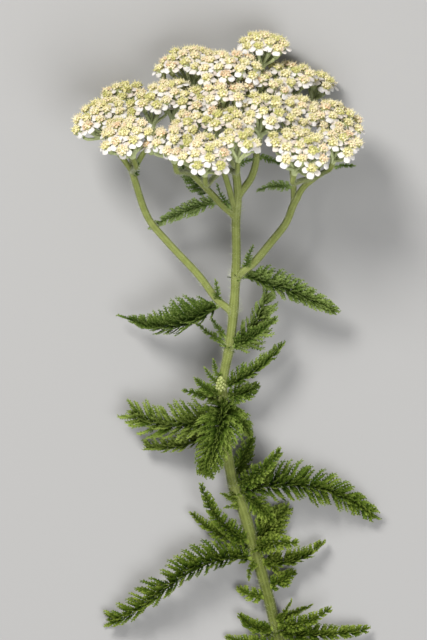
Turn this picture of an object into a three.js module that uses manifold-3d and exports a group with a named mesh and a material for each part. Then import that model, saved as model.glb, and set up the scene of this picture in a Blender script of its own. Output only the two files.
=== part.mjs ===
// A cut flowering stem of yarrow, laid on its side as it lies on a table.
// The stem runs along +Y, from its cut end to the flat head of small white flowers, and +Z is up from the table.
// The plant rests on its cut end and on the rims of its two outermost back flower sprays.
// Each feathery leaf is one thin blade cut into leaflets, each flower spray is one body of flower heads on
// their stalks, and the main stem with its branches and small bracts is one body.
// Sizes are millimetres and angles are radians.
import * as THREE from "three";
import { mergeVertices } from "three/addons/utils/BufferGeometryUtils.js";
import Module from "manifold-3d";

const wasm = await Module();
wasm.setup();
const { Manifold } = wasm;

// ---- Driving dimensions ----

const ORIGIN = [-3, 86.83, -0.003]; // the middle of the plant's box, at the table, on the design axes
const CLEARANCE = 0.3; // kept between pieces that touch
const LEAF_GAP = 0.25; // from the stem's side to the middle of a leaf's foot

// The flat flower head: where its middle is, and how far it is turned up from the stem's own direction.
const FLOWER_HEAD = { middle: [-2.9, 157.1, 31.6], tilt: THREE.MathUtils.degToRad(25), halfWidth: 35, spread: 0.35 };

// One small flower: a cup on a stalk, three or four broad rays and a domed disc.
const FLOWER = {
  rays: 3,
  rimRays: 4, // on the outermost flowers of a spray
  ray: 1.85, // from the axis to the end of a ray among other flowers
  rimRay: 0.55, // how much longer a ray is that hangs out over the spray's rim
  rayTurn: 0.5, // half the angle that a ray's end takes up
  rayDroop: 0.4, // how far the rays of an outermost flower hang
  notch: 1.35, // from the axis to the gap between two rays
  disc: 1.2,
  discEdge: 0.5, // how high the disc's edge stands over the rays
  discHeight: 1.2,
  cup: 1.1,
  cupDepth: 1.5,
  cupSides: 3,
};
// One spray: a dome of flowers, whose stalks part from a small knot.
const SPRAY = {
  depth: 4.4, // from the point where its stalks part up to the middle of its rim
  depthShare: 0.5, // and how much of its radius a spray adds to that
  dome: 0.48, // how far its middle flower stands above its rim, as a share of its radius
  edge: 1.04, // how far out the outermost flowers stand, as a share of its radius
  rim: 0.75, // flowers further out than this share of the radius are its outermost
  rimLean: 0.8, // how far the outermost flowers lean out
  coreTop: 0.3, // the radius of the knot that carries the stalks, as a share of the spray's
  coreHeight: 2.4,
  foot: 0.75,
  knotSides: 6,
};
// A flower's clearance from those of other sprays: distance below its top, and the room it needs there.
const FLOWER_ROOM = [
  [0.3, 2.1],
  [2.4, 1.15],
  [4.4, 0.75],
];
const GOLDEN_ANGLE = Math.PI * (3 - Math.sqrt(5));

const BLADE = {
  thickness: 0.65,
  foot: { narrowing: 0.6, power: 4 }, // how much narrower a leaf is at its foot, and how soon it widens
  tip: { narrowing: 0.75, power: 1.8 }, // the same towards its tip
  rib: 0.5, // half the width of the rib
  notch: 0.34, // how far out of the rib the cuts between leaflets end, as a share of the width there
  sweep: 0.55, // how far a leaflet's tip leans forward, as a share of its length
  tipShare: 0.06, // the last part of the rib, which has no leaflets
};

// ---- Where things are, on the design axes: X to the right, Y towards the flowers, Z up ----

// Sprays by name: the middle of the rim, as places across the flower head, back from its middle and above
// its plane, then the spray's radius, how many flowers its rule places, and the branch that carries it.
const SPRAYS = {
  top: [12, 26, 5.9, 7.3, 14, "rightInner"],
  topLeft: [-9.7, 23, 1.8, 9, 17, "leftInner"],
  crown: [0.8, 12.5, 4.2, 8.6, 14, "centre"],
  crownRight: [9.4, 10.5, -1.6, 6.6, 8, "rightInner"],
  rightBack: [20, 24, -2.7, 6.8, 9, "rightFork"],
  rightEdge: [27.9, 27.7, -6, 4.9, 6, "rightFork"],
  rightOuter: [31.6, 8, -8.8, 7.2, 11, "rightTip"],
  rightLow: [33.8, -8, -9.6, 5.4, 6, "rightTip"],
  rightMiddle: [20.8, 4.5, -7.4, 7.4, 10, "rightFork"],
  rightFront: [21.6, -15.5, -8, 8.5, 14, "rightTip"],
  middleRight: [10.8, -2.5, -3, 7.2, 10, "rightInner"],
  middle: [0.4, 0, 0.4, 7.2, 10, "centre"],
  middleLeft: [-8.8, 4, -3.2, 6, 7, "leftInner"],
  leftInner: [-16.5, 12, -3, 6.8, 8, "leftInner"],
  frontLeft: [-8.2, -9.5, -4.4, 5.6, 6, "frontStalk"],
  frontMiddle: [1.2, -11, -3, 6.4, 8, "centre"],
  frontCorner: [-15.4, -15, -6, 6.5, 8, "leftInner"],
  front: [-6.2, -24, -5.8, 7.8, 12, "frontStalk"],
  frontRight: [3.9, -22.5, -3.4, 4.9, 5, "frontStalk"],
  leftBack: [-30, 24, -9.2, 6.8, 9, "leftTip"],
  leftOuter: [-35.4, 5, -7.5, 8.7, 16, "leftTip"],
  leftMiddle: [-22.3, 6, -4.2, 5, 5, "leftTip"],
  leftFront: [-28.3, -12, -7.2, 7.6, 12, "leftTip"],
};

// The main stem and the branches that fork from it: points of the middle line, then first and last radius.
const STEM = {
  line: [
    [13.6, -3, 1.72],
    [11.5, 7, 2.2],
    [9, 17, 2.75],
    [5.2, 30, 3.7],
    [2.3, 40, 4.7],
    [-0.1, 46, 5.3],
    [-1.7, 53, 6.1],
    [-3, 66, 7.8],
    [-3.7, 76, 9.2],
    [-1.8, 87, 11],
    [-0.7, 98, 13],
    [0.3, 111, 15.6],
    [0.6, 124, 18.5],
    [0.9, 131.5, 20.6],
    [0, 138, 22.8],
  ],
  radii: [1.65, 1.2],
  rings: 13,
  sides: 7,
};
const BRANCH_SIDES = 5;
const BRANCHES = {
  left: {
    line: [
      [-1.4, 96.8, 13],
      [-5, 100, 13.6],
      [-10.3, 107, 14.6],
      [-18.9, 116.2, 15.8],
      [-24.8, 123.4, 16.6],
      [-28.4, 133.4, 17.6],
      [-29.4, 136.8, 18.4],
    ],
    radii: [1.15, 1],
    rings: 8,
  },
  right: {
    line: [
      [0.8, 106.5, 15],
      [5.7, 111, 15.4],
      [10.2, 116.4, 16],
      [14.7, 122.2, 16.8],
      [16.6, 127, 17.6],
      [18, 129.6, 18.2],
    ],
    radii: [1.25, 1.05],
    rings: 7,
  },
  leftInner: {
    line: [
      [0.2, 123.4, 18.6],
      [-3.8, 127.3, 19.7],
      [-7.7, 131.4, 20.8],
      [-12.6, 136.2, 21.8],
    ],
    radii: [1.2, 0.85],
    rings: 4,
  },
  frontStalk: {
    line: [
      [-0.2, 126, 19.6],
      [-2, 132.9, 22.4],
      [-3.4, 137.3, 25],
    ],
    radii: [1, 0.8],
    rings: 3,
  },
  rightInner: {
    line: [
      [1, 129.6, 20.2],
      [4.6, 134.9, 20.8],
      [6, 139.4, 21.4],
      [6.2, 142, 21.8],
    ],
    radii: [1.15, 1],
    rings: 4,
  },
  rightTip: {
    line: [
      [17.5, 128.6, 18],
      [19.6, 132.3, 19.6],
      [22.9, 135, 21],
    ],
    radii: [1, 0.85],
    rings: 3,
  },
  rightFork: {
    line: [
      [16.7, 127.4, 17.7],
      [16.8, 132.3, 17.2],
      [16.4, 137, 17.2],
    ],
    radii: [0.95, 0.85],
    rings: 3,
  },
};
// Where each branch ends and its spray stalks begin.
const FORKS = {
  centre: STEM.line.at(-1),
  leftTip: BRANCHES.left.line.at(-1),
  leftInner: BRANCHES.leftInner.line.at(-1),
  frontStalk: BRANCHES.frontStalk.line.at(-1),
  rightInner: BRANCHES.rightInner.line.at(-1),
  rightTip: BRANCHES.rightTip.line.at(-1),
  rightFork: BRANCHES.rightFork.line.at(-1),
};
// A stalk from a fork to a spray; one that is longer than long has one more ring.
const SPRAY_STALK = { radii: [0.8, 0.62], sides: 4, rings: 2, long: 10, rise: 0.15 };

// Leaves by name: where the rib starts, the point or two it bends towards, its tip, then half the blade's width,
// pairs of leaflets, how far the leaflets lift out of the blade, and how far the blade rolls about its rib.
const LEAVES = {
  foot_right: [[12.4, 4, 2.7], [25, 1.8, 6], [37.8, 4.6, 2.6], 3.8, 9, 0.45, -0.4],
  foot_right_upper: [[12.6, 6.4, 3.6], [21, 6, 8.6], [26.6, 10.4, 8], 3.2, 6, 0.45, -0.3],
  foot_right_narrow: [[12.2, 7.2, 2.8], [17.2, 10.4, 4], [22.6, 12.6, 2.9], 1.9, 4, 0.3, -0.2],
  foot_up: [[12.2, 7.8, 3.6], [14.4, 10.2, 6], [16, 13.4, 6.4], 1.5, 3, 0.3, -0.2],
  foot_left: [[12, 5.8, 2.8], [5.6, 4, 5], [1.8, 8.8, 3.2], 2.8, 6, 0.45, 0.3],
  foot_left_low: [[12.8, 1.6, 2.6], [5.4, 0.8, 4.6], [-2, 3, 1.6], 2.7, 6, 0.3, 0.2],
  foot_right_low: [[13, 0.8, 2.6], [20.6, 1.4, 4.2], [29, -1.6, 1.6], 2.8, 7, 0.3, -0.2],
  low_left_long: [[6.4, 25.8, 3.8], [[-13.4, 30, 8], [-21.4, 10.4, 8.4]], [-35.4, 7.4, 1.4], 7.6, 14, 0.7, 0.5],
  low_left_up: [[5.2, 30, 4.4], [-5, 34.5, 8], [-9.4, 46.2, 8.4], 3.8, 8, 0.5, 0.4],
  low_left_side: [[4.8, 30.4, 3.5], [-6.5, 31.8, 1.6], [-12.2, 38.4, 3], 3.4, 7, 0.5, 0.4],
  low_right: [[6.4, 26, 3.8], [16, 21.6, 5], [24, 29.2, 2.8], 4, 7, 0.6, -0.5],
  low_right_short: [[9.4, 17.2, 2.9], [13, 19, 4.4], [16.8, 21.6, 2.6], 2.9, 4, 0.3, -0.2],
  low_left_short: [[9.4, 14.6, 2.8], [5, 14.6, 3.8], [1.6, 16.8, 2.2], 2.3, 4, 0.2, 0],
  low_right_back: [[5.4, 30.4, 3.4], [9.5, 34, 1.2], [15, 40.6, 1.4], 5.2, 7, 0.05, 0],
  low_right_front: [[6.2, 28.6, 4.4], [10.6, 31.2, 10], [17.5, 32.2, 9.6], 3.4, 5, 0.35, 0],
  mid_right_long: [[1.2, 45.2, 5.2], [24, 48.8, 8], [39.6, 38.6, 2.4], 7.4, 15, 0.55, -0.45],
  mid_right_up: [[0.6, 47, 5.8], [8, 50.2, 12.6], [12.6, 56.6, 12], 3.6, 6, 0.3, 0],
  mid_right_inner: [[-0.2, 48.4, 5.4], [2, 54, 3.4], [4.8, 60.4, 3.2], 3.2, 6, 0.2, 0.2],
  mid_right_low: [[1.8, 43.4, 4.8], [6.4, 42.4, 5.4], [10.8, 36.6, 3.8], 3.6, 5, 0.3, 0],
  whorl_right_up: [[-3, 75.4, 9.4], [6, 77.6, 12.4], [13.8, 87.2, 9.6], 3.8, 8, 0.6, -0.5],
  whorl_right_side: [[-3.2, 72.6, 8.8], [2.5, 72.8, 8.6], [6.2, 75.4, 7.6], 3.2, 5, 0.3, 0],
  whorl_left_up: [[-3.4, 72.6, 9], [-8, 73.6, 11.4], [-11, 77.2, 11], 2, 4, 0.3, 0.2],
  whorl_left_side: [[-3.4, 71, 8.6], [-10, 72.8, 9.8], [-14.2, 74, 9], 2, 4, 0.3, 0.2],
  whorl_front: [[-3.2, 71, 9], [-3.6, 64, 25], [-7.7, 51.2, 11.6], 7.8, 11, 0.2, 0],
  whorl_left_wide: [[-3.2, 68, 8.2], [-17, 60.8, 8.4], [-28.4, 66.4, 3.4], 7, 12, 0.6, 0.5],
  whorl_left_low: [[-2.6, 63.6, 7.2], [-13, 57, 6.4], [-24.6, 57.2, 2.6], 4.2, 8, 0.7, 0.6],
  whorl_right_low: [[-2.9, 68.6, 8.2], [1.6, 68.2, 8.4], [5, 62.6, 6], 3.2, 5, 0.2, 0],
  upper_right_fan: [[-1.9, 86.2, 11], [4.4, 92.5, 10], [9, 101.4, 9], 5.6, 8, 0.45, 0.5],
  upper_right_side: [[-1.9, 86, 10.9], [4.6, 89.2, 14.6], [11.6, 94.6, 15], 3, 6, 0.5, -0.4],
  upper_left_low: [[-1.8, 87.2, 11], [-6.5, 89.3, 9.8], [-10.6, 92.6, 8.8], 2, 4, 0.3, 0.2],
  upper_left_high: [[-1.7, 88.4, 11.2], [-4.6, 91, 12.4], [-6.3, 94.3, 12.6], 1.7, 3, 0.3, 0.2],
  branch_left: [[-3.4, 99.6, 13], [-16, 89.4, 13.6], [-31.2, 94.4, 6.4], 7.2, 13, 0.65, 0.7],
  branch_right: [[2, 107.2, 14.8], [16, 103.2, 16.4], [29.2, 96.6, 9.6], 5.4, 13, 0.45, -0.5],
  top_left: [[-4.4, 128.2, 19.8], [-13, 126.6, 16], [-24.4, 121.8, 13], 2.6, 9, 0.3, 0.2],
  top_left_back: [[-6.6, 130.4, 20.2], [-10.5, 133, 15.6], [-15.7, 139.3, 15.4], 4.2, 7, 0.2, 0],
  top_right: [[16.8, 132, 17.4], [11.5, 133, 18.2], [7, 131, 15.8], 2.1, 5, 0.2, 0],
};

// Small bracts that grow from the stem and its branches, in the same terms as the leaves.
const BRACTS = [
  [[3.2, 108.4, 15.4], [3.4, 111.8, 17.4], [4.9, 114.8, 17.6], 1.1, 2, 0.1, 0],
  [[-4.8, 99.6, 13.8], [-5, 102.4, 16], [-5.4, 105, 16.4], 1.1, 2, 0.1, 0],
  [[-3.9, 75.4, 9.6], [-6.6, 77, 11.4], [-8.2, 80, 11.6], 1, 2, 0.1, 0],
  [[-3.6, 76.6, 10], [-5.6, 79, 11.8], [-6, 82.2, 12.2], 0.9, 2, 0.1, 0],
  [[-1, 126.4, 20], [-4.4, 129.6, 22.4], [-4.9, 132.4, 23], 0.9, 2, 0.1, 0],
  [[6.2, 141, 21.8], [9.6, 140.6, 21.4], [12.9, 139, 20.8], 1, 3, 0.1, 0],
  [[0, 137.6, 22.8], [2.4, 139.8, 23.4], [4.6, 140.2, 22.8], 0.9, 2, 0.1, 0],
  [[-29.3, 136, 18.4], [-27.9, 136.8, 20.4], [-27.7, 139, 21], 1, 2, 0.1, 0],
];

// The knot of unopened buds in the angle of a leaf. Its two widest rings stand at shares of its height.
const BUDS = { foot: [-4.1, 72.6, 9.4], top: [-4, 78, 12.4], radius: 1.5, sides: 6, rings: [0.45, 0.75] };

// ---- Colours ----

const matte = (color, roughness) => new THREE.MeshStandardMaterial({ color, roughness, metalness: 0 });
const STEM_GREEN = matte(0x93a35c, 0.6);
const LEAF_GREEN = matte(0x5f7d36, 0.65);
const FLOWER_CREAM = matte(0xf0ebd2, 0.75);

// ---- Shapes ----

const UP = new THREE.Vector3(0, 0, 1);
const SAME_POINT = 1e-4; // vertices closer than this are one
const vec = (p) => new THREE.Vector3(...p);
const line = (points) => new THREE.CatmullRomCurve3(points.map(vec), false, "centripetal");

// A closed solid from a list of vertices and triangles.
function solid(points, triangles) {
  const geometry = new THREE.BufferGeometry().setFromPoints(points).setIndex(triangles);
  const merged = mergeVertices(geometry, SAME_POINT);
  const vertProperties = new Float32Array(merged.attributes.position.array);
  const triVerts = new Uint32Array(merged.index.array);
  return new Manifold(new wasm.Mesh({ numProp: 3, vertProperties, triVerts }));
}

// The triangles between two rings, of any number of points each, that turn the same way.
function joinRings(startA, countA, startB, countB) {
  const a = (i) => startA + (i % countA);
  const b = (j) => startB + (j % countB);
  const [stepsA, stepsB] = [countA, countB].map((count) => (count > 1 ? count : 0));
  const triangles = [];
  let [i, j] = [0, 0];
  while (i < stepsA || j < stepsB) {
    if (j >= stepsB || (i < stepsA && (i + 0.5) / stepsA <= (j + 0.5) / stepsB)) {
      triangles.push(a(i), a(i + 1), b(j));
      i++;
    } else {
      triangles.push(a(i), b(j + 1), b(j));
      j++;
    }
  }
  return triangles;
}

// The triangles that close a flat ring.
function fan(start, count) {
  const triangles = [];
  for (let i = 1; i + 1 < count; i++) triangles.push(start, start + i, start + i + 1);
  return triangles;
}

// A closed solid through a stack of rings that turn the same way; a ring of one point closes an end.
function loft(rings) {
  const counts = rings.map((points) => points.length);
  const starts = counts.map((_, k) => counts.slice(0, k).reduce((sum, count) => sum + count, 0));
  const triangles = [...fan(starts[0], counts[0]).reverse(), ...fan(starts.at(-1), counts.at(-1))];
  for (let k = 0; k + 1 < rings.length; k++) {
    triangles.push(...joinRings(starts[k], counts[k], starts[k + 1], counts[k + 1]));
  }
  return solid(rings.flat(), triangles);
}

// Points on a ring round a middle, in the plane of two unit vectors; spokes hold [radius, angle, rise].
function ring(middle, u, v, spokes, axis, height = 0) {
  return spokes.map(([radius, angle, rise = 0]) =>
    middle
      .clone()
      .addScaledVector(u, radius * Math.cos(angle))
      .addScaledVector(v, radius * Math.sin(angle))
      .addScaledVector(axis, rise + height),
  );
}
const even = (radius, count, turn = 0) =>
  Array.from({ length: count }, (_, i) => [radius, turn + (i * 2 * Math.PI) / count]);

// A tapering round stalk along a curve.
function stalk(points, radii, sides, rings, extra = 0) {
  const curve = line(points);
  const frames = curve.computeFrenetFrames(rings, false);
  const loops = [];
  for (let i = 0; i <= rings; i++) {
    const radius = THREE.MathUtils.lerp(radii[0], radii[1], i / rings) + extra;
    const middle = curve.getPointAt(i / rings);
    loops.push(ring(middle, frames.normals[i], frames.binormals[i], even(radius, sides), frames.tangents[i]));
  }
  return loft(loops);
}

// Points down the middle of the stem and its branches, each with the radius there.
const WOOD_STEPS = 160;
const wood = [STEM, ...Object.values(BRANCHES)].flatMap(({ line: points, radii }) => {
  const curve = line(points);
  return Array.from({ length: WOOD_STEPS + 1 }, (_, i) => ({
    at: curve.getPointAt(i / WOOD_STEPS),
    radius: THREE.MathUtils.lerp(radii[0], radii[1], i / WOOD_STEPS),
  }));
});

// How far along a rib it first comes clear of the wood that it grows from.
function leafStart(rib) {
  for (let i = 0; i < WOOD_STEPS; i++) {
    const at = rib.getPointAt(i / WOOD_STEPS);
    if (wood.every((w) => w.at.distanceTo(at) > w.radius + LEAF_GAP)) return i / WOOD_STEPS;
  }
  return 0;
}

// How wide a leaf is along its rib, as a share of its widest.
const bladeWidth = (t) =>
  (1 - BLADE.foot.narrowing * (1 - t) ** BLADE.foot.power) * (1 - BLADE.tip.narrowing * t ** BLADE.tip.power);

// Places points on a blade's top face, each with its partner on the underside next in the list: t runs from
// foot to tip, and the rest is how far out from the rib the point is and how far the blade lifts there.
function bladePlacer(rib, first, roll, points) {
  return (t, across, raise) => {
    const share = Math.min(first + (1 - first) * t, 1);
    const along = rib.getTangentAt(share);
    const side = along.clone().cross(UP).normalize().applyAxisAngle(along, roll);
    const up = side.clone().cross(along);
    const middle = rib.getPointAt(share).addScaledVector(side, across).addScaledVector(up, raise);
    for (const half of [0.5, -0.5]) points.push(middle.clone().addScaledVector(up, half * BLADE.thickness));
    return points.length - 2;
  };
}

// The triangles of a blade, alike on both faces, from its notches, leaflet tips and end point.
function bladeFaces(notches, tips, apex) {
  const triangles = [];
  const face = (a, b, c) => triangles.push(a, b, c, c + 1, b + 1, a + 1);
  tips.forEach(([tipLeft, tipRight], i) => {
    const [[left, right], [nextLeft, nextRight]] = [notches[i], notches[i + 1]];
    face(left, right, nextRight);
    face(left, nextRight, nextLeft);
    face(left, nextLeft, tipLeft);
    face(right, tipRight, nextRight);
  });
  face(...notches.at(-1), apex);
  const edge = [0, 1].map((side) => notches.flatMap((notch, i) => [notch[side], tips[i]?.[side] ?? []].flat()));
  const outline = [...edge[1], apex, ...edge[0].reverse()];
  outline.forEach((a, i) => {
    const b = outline[(i + 1) % outline.length];
    triangles.push(a, a + 1, b + 1, a, b + 1, b);
  });
  return triangles;
}

// One feathery leaf: a thin blade along an arched rib, cut towards the rib between its leaflets.
function frond([from, through, to, halfWidth, pairs, lift, roll], start = leafStart) {
  const bends = typeof through[0] === "number" ? [through] : through;
  const Curve = bends.length > 1 ? THREE.CubicBezierCurve3 : THREE.QuadraticBezierCurve3;
  const rib = new Curve(...[from, ...bends, to].map(vec));
  const first = start(rib);
  const span = rib.getLength() * (1 - first);
  const points = [];
  const place = bladePlacer(rib, first, roll, points);
  const pair = (t, reach) => [-1, 1].map((side) => place(t, side * reach, lift * reach));
  const step = (1 - BLADE.tipShare) / pairs;
  const notches = [];
  const tips = [];
  for (let i = 0; i <= pairs; i++) {
    const cut = BLADE.notch * halfWidth * bladeWidth(i * step) * Math.min(1, i / 2);
    notches.push(pair(i * step, Math.max(BLADE.rib, cut)));
    if (i === pairs) break;
    const t = (i + 0.5) * step;
    const reach = halfWidth * bladeWidth(t);
    tips.push(pair(t + (BLADE.sweep * reach) / span, reach));
  }
  return solid(points, bladeFaces(notches, tips, place(1, 0, 0)));
}

// A small bumpy knot; each ring is turned half a step from the one below it.
function budKnot({ foot, top, radius, sides, rings }) {
  const [a, b] = [vec(foot), vec(top)];
  const axis = b.clone().sub(a).normalize();
  const u = ACROSS.clone().projectOnPlane(axis).normalize();
  const v = axis.clone().cross(u);
  const loops = rings.map((share, i) =>
    ring(a.clone().lerp(b, share), u, v, even(radius, sides, (i * Math.PI) / sides), axis),
  );
  return loft([[a], ...loops, [b]]);
}

// ---- Flower sprays ----

// The flower head's own directions: across it, back from its middle, and out of its plane.
const ACROSS = new THREE.Vector3(1, 0, 0);
const OUT = new THREE.Vector3(0, Math.cos(FLOWER_HEAD.tilt), Math.sin(FLOWER_HEAD.tilt));
const BACK = ACROSS.clone().cross(OUT).negate();

// A spray's middle, its axis, the point where its stalks part, and its flowers by the golden-angle rule.
function laySpray([across, back, above, radius, count, fork]) {
  const middle = vec(FLOWER_HEAD.middle)
    .addScaledVector(ACROSS, across)
    .addScaledVector(BACK, back)
    .addScaledVector(OUT, above);
  const splay = FLOWER_HEAD.spread / FLOWER_HEAD.halfWidth;
  const axis = OUT.clone()
    .addScaledVector(ACROSS, splay * across)
    .addScaledVector(BACK, splay * back)
    .normalize();
  const u = axis.clone().cross(BACK).normalize();
  const v = axis.clone().cross(u);
  const hub = middle.clone().addScaledVector(axis, -SPRAY.depth - SPRAY.depthShare * radius);
  const flowers = [];
  for (let i = 0; i < count; i++) {
    const reach = Math.sqrt((i + 0.5) / count);
    const turn = i * GOLDEN_ANGLE + across;
    const outward = u.clone().multiplyScalar(Math.cos(turn)).addScaledVector(v, Math.sin(turn));
    const lean = SPRAY.rimLean * reach;
    flowers.push({
      place: middle
        .clone()
        .addScaledVector(outward, SPRAY.edge * radius * reach)
        .addScaledVector(axis, SPRAY.dome * radius * (1 - reach * reach)),
      axis: axis.clone().multiplyScalar(Math.cos(lean)).addScaledVector(outward, Math.sin(lean)),
      outward,
      reach,
    });
  }
  return { axis, u, v, hub, radius, fork, flowers };
}

// Points down the middle of a flower and its stalk, each with the room that it needs.
function room(flower, hub) {
  const below = flower.place.clone().sub(hub);
  const length = below.length();
  return FLOWER_ROOM.map(([down, radius]) => ({
    at: flower.place.clone().addScaledVector(below, -down / length),
    radius,
  }));
}

// Leaves out the outermost flowers that would meet another spray's.
function thinOut(sprays) {
  const all = sprays.flatMap((spray) => spray.flowers.map((flower) => ({ spray, flower })));
  all.sort((a, b) => a.flower.reach - b.flower.reach);
  const kept = [];
  for (const { spray, flower } of all) {
    const beads = room(flower, spray.hub);
    const meets = kept.some(
      (other) =>
        other.spray !== spray &&
        other.beads.some((b) => beads.some((a) => a.at.distanceTo(b.at) < a.radius + b.radius)),
    );
    if (!meets) kept.push({ spray, flower, beads });
  }
  for (const spray of sprays) {
    spray.flowers = kept.filter((k) => k.spray === spray).map((k) => k.flower);
  }
}

// One flower: stalk and cup, a ring of broad rays, and the domed disc. Its first ray points out of the spray.
function flowerSolid({ place, axis, outward, reach }, hub) {
  const u = outward.clone().projectOnPlane(axis).normalize();
  const v = axis.clone().cross(u);
  const at = (height) => place.clone().addScaledVector(axis, height - FLOWER.discHeight);
  const count = reach < SPRAY.rim ? FLOWER.rays : FLOWER.rimRays;
  const step = (2 * Math.PI) / count;
  const rays = [];
  for (let i = 0; i < count; i++) {
    const tip = FLOWER.ray + FLOWER.rimRay * reach * Math.max(0, Math.cos(i * step));
    rays.push([tip, i * step - FLOWER.rayTurn, -FLOWER.rayDroop * reach]);
    rays.push([tip, i * step + FLOWER.rayTurn, -FLOWER.rayDroop * reach]);
    rays.push([FLOWER.notch, (i + 0.5) * step]);
  }
  return loft([
    [hub],
    ring(at(-FLOWER.cupDepth), u, v, even(FLOWER.cup, FLOWER.cupSides), axis),
    ring(at(0), u, v, rays, axis),
    ring(at(FLOWER.discEdge), u, v, even(FLOWER.disc, count), axis),
    [at(FLOWER.discHeight)],
  ]);
}

// One spray: the knot and its flowers.
function spraySolid({ hub, axis, u, v, radius, flowers }) {
  const core = loft([
    ring(hub, u, v, even(SPRAY.foot, SPRAY.knotSides), axis),
    ring(hub, u, v, even(SPRAY.coreTop * radius, SPRAY.knotSides), axis, SPRAY.coreHeight),
  ]);
  return Manifold.union([core, ...flowers.map((flower) => flowerSolid(flower, hub))]);
}

// The stalk from a fork up to the foot of a spray.
function sprayStalk(spray) {
  const from = vec(FORKS[spray.fork]);
  const foot = spray.hub.clone().addScaledVector(spray.axis, -CLEARANCE);
  const reach = from.distanceTo(foot);
  const ease = foot.clone().addScaledVector(spray.axis, -reach * SPRAY_STALK.rise);
  const bend = from.clone().lerp(ease, 0.5);
  return [from, bend, ease, foot].map((p) => p.toArray());
}

// ---- The plant ----

const sprays = Object.entries(SPRAYS).map(([name, row]) => ({ name, ...laySpray(row) }));
thinOut(sprays);

// The wood of the stem and its branches, thickened where it's the sleeve that leaves are cut clear of.
const woody = (extra = 0) =>
  [STEM, ...Object.values(BRANCHES)].map(({ line: points, radii, sides = BRANCH_SIDES, rings }) =>
    stalk(points, radii, sides, rings, extra),
  );
const sprayStalks = sprays.map((spray) => {
  const points = sprayStalk(spray);
  const isLong = vec(points[0]).distanceTo(vec(points.at(-1))) > SPRAY_STALK.long;
  return stalk(points, SPRAY_STALK.radii, SPRAY_STALK.sides, SPRAY_STALK.rings + (isLong ? 1 : 0));
});

const plant = new THREE.Group();

function add(name, body, material) {
  const { vertProperties, triVerts } = body.getMesh();
  const geometry = new THREE.BufferGeometry();
  geometry.setAttribute("position", new THREE.BufferAttribute(new Float32Array(vertProperties), 3));
  geometry.setIndex(new THREE.BufferAttribute(new Uint32Array(triVerts), 1));
  geometry.computeVertexNormals();
  const mesh = new THREE.Mesh(geometry, material);
  mesh.name = name;
  plant.add(mesh);
}

// The largest body of a solid, without the loose scraps of a cut.
const largest = (body) => body.decompose().reduce((a, b) => (a.volume() > b.volume() ? a : b));

const bracts = BRACTS.map((row) => frond(row, () => 0));
add("stem", Manifold.union([...woody(), ...sprayStalks, ...bracts, budKnot(BUDS)]), STEM_GREEN);

const sleeve = Manifold.union(woody(CLEARANCE));
for (const [name, row] of Object.entries(LEAVES)) {
  add(`leaf_${name}`, largest(frond(row).subtract(sleeve)), LEAF_GREEN);
}
for (const spray of sprays) add(`flowers_${spray.name}`, spraySolid(spray), FLOWER_CREAM);

plant.position.set(...ORIGIN.map((value) => -value));

export default plant;
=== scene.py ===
"""A cut flowering stem of yarrow on a pale floor, with every leaf, flower and stalk finely made.

The plant's pieces are laid out in millimetres on its own design axes: X to the right, Y from the cut end
towards the flowers, Z up. finish_piece puts each one into the frame's metres. Angles are radians.
"""

import math
import random
from collections import namedtuple
from types import SimpleNamespace as Record

import bmesh
import bpy
import numpy as np
from mathutils import Matrix, Vector


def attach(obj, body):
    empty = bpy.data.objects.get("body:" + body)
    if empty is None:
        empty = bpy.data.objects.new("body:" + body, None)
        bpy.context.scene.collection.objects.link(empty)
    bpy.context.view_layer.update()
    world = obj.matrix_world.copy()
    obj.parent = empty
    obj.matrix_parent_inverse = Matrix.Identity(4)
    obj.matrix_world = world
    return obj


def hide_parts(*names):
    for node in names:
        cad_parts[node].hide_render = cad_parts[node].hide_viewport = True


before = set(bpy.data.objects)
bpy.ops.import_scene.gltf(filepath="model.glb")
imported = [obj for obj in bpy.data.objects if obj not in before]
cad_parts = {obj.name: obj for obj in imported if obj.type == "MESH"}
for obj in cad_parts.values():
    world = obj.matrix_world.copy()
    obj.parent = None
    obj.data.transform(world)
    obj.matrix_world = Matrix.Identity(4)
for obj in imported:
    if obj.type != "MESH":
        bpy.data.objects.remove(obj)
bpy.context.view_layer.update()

# ---- Driving dimensions ----

MM = 0.001
ORIGIN = Vector((-3, 86.83, -0.003))  # the middle of the plant's box, at the floor, on the design axes
ACROSS = Vector((1, 0, 0))
UP = Vector((0, 0, 1))
GOLDEN_ANGLE = math.pi * (3 - math.sqrt(5))
SHARP = math.radians(55)  # edges bent more than this stay crisp
FLOOR_EASE = 1.0  # what would hang nearer to the floor than this is pressed together above it

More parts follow.
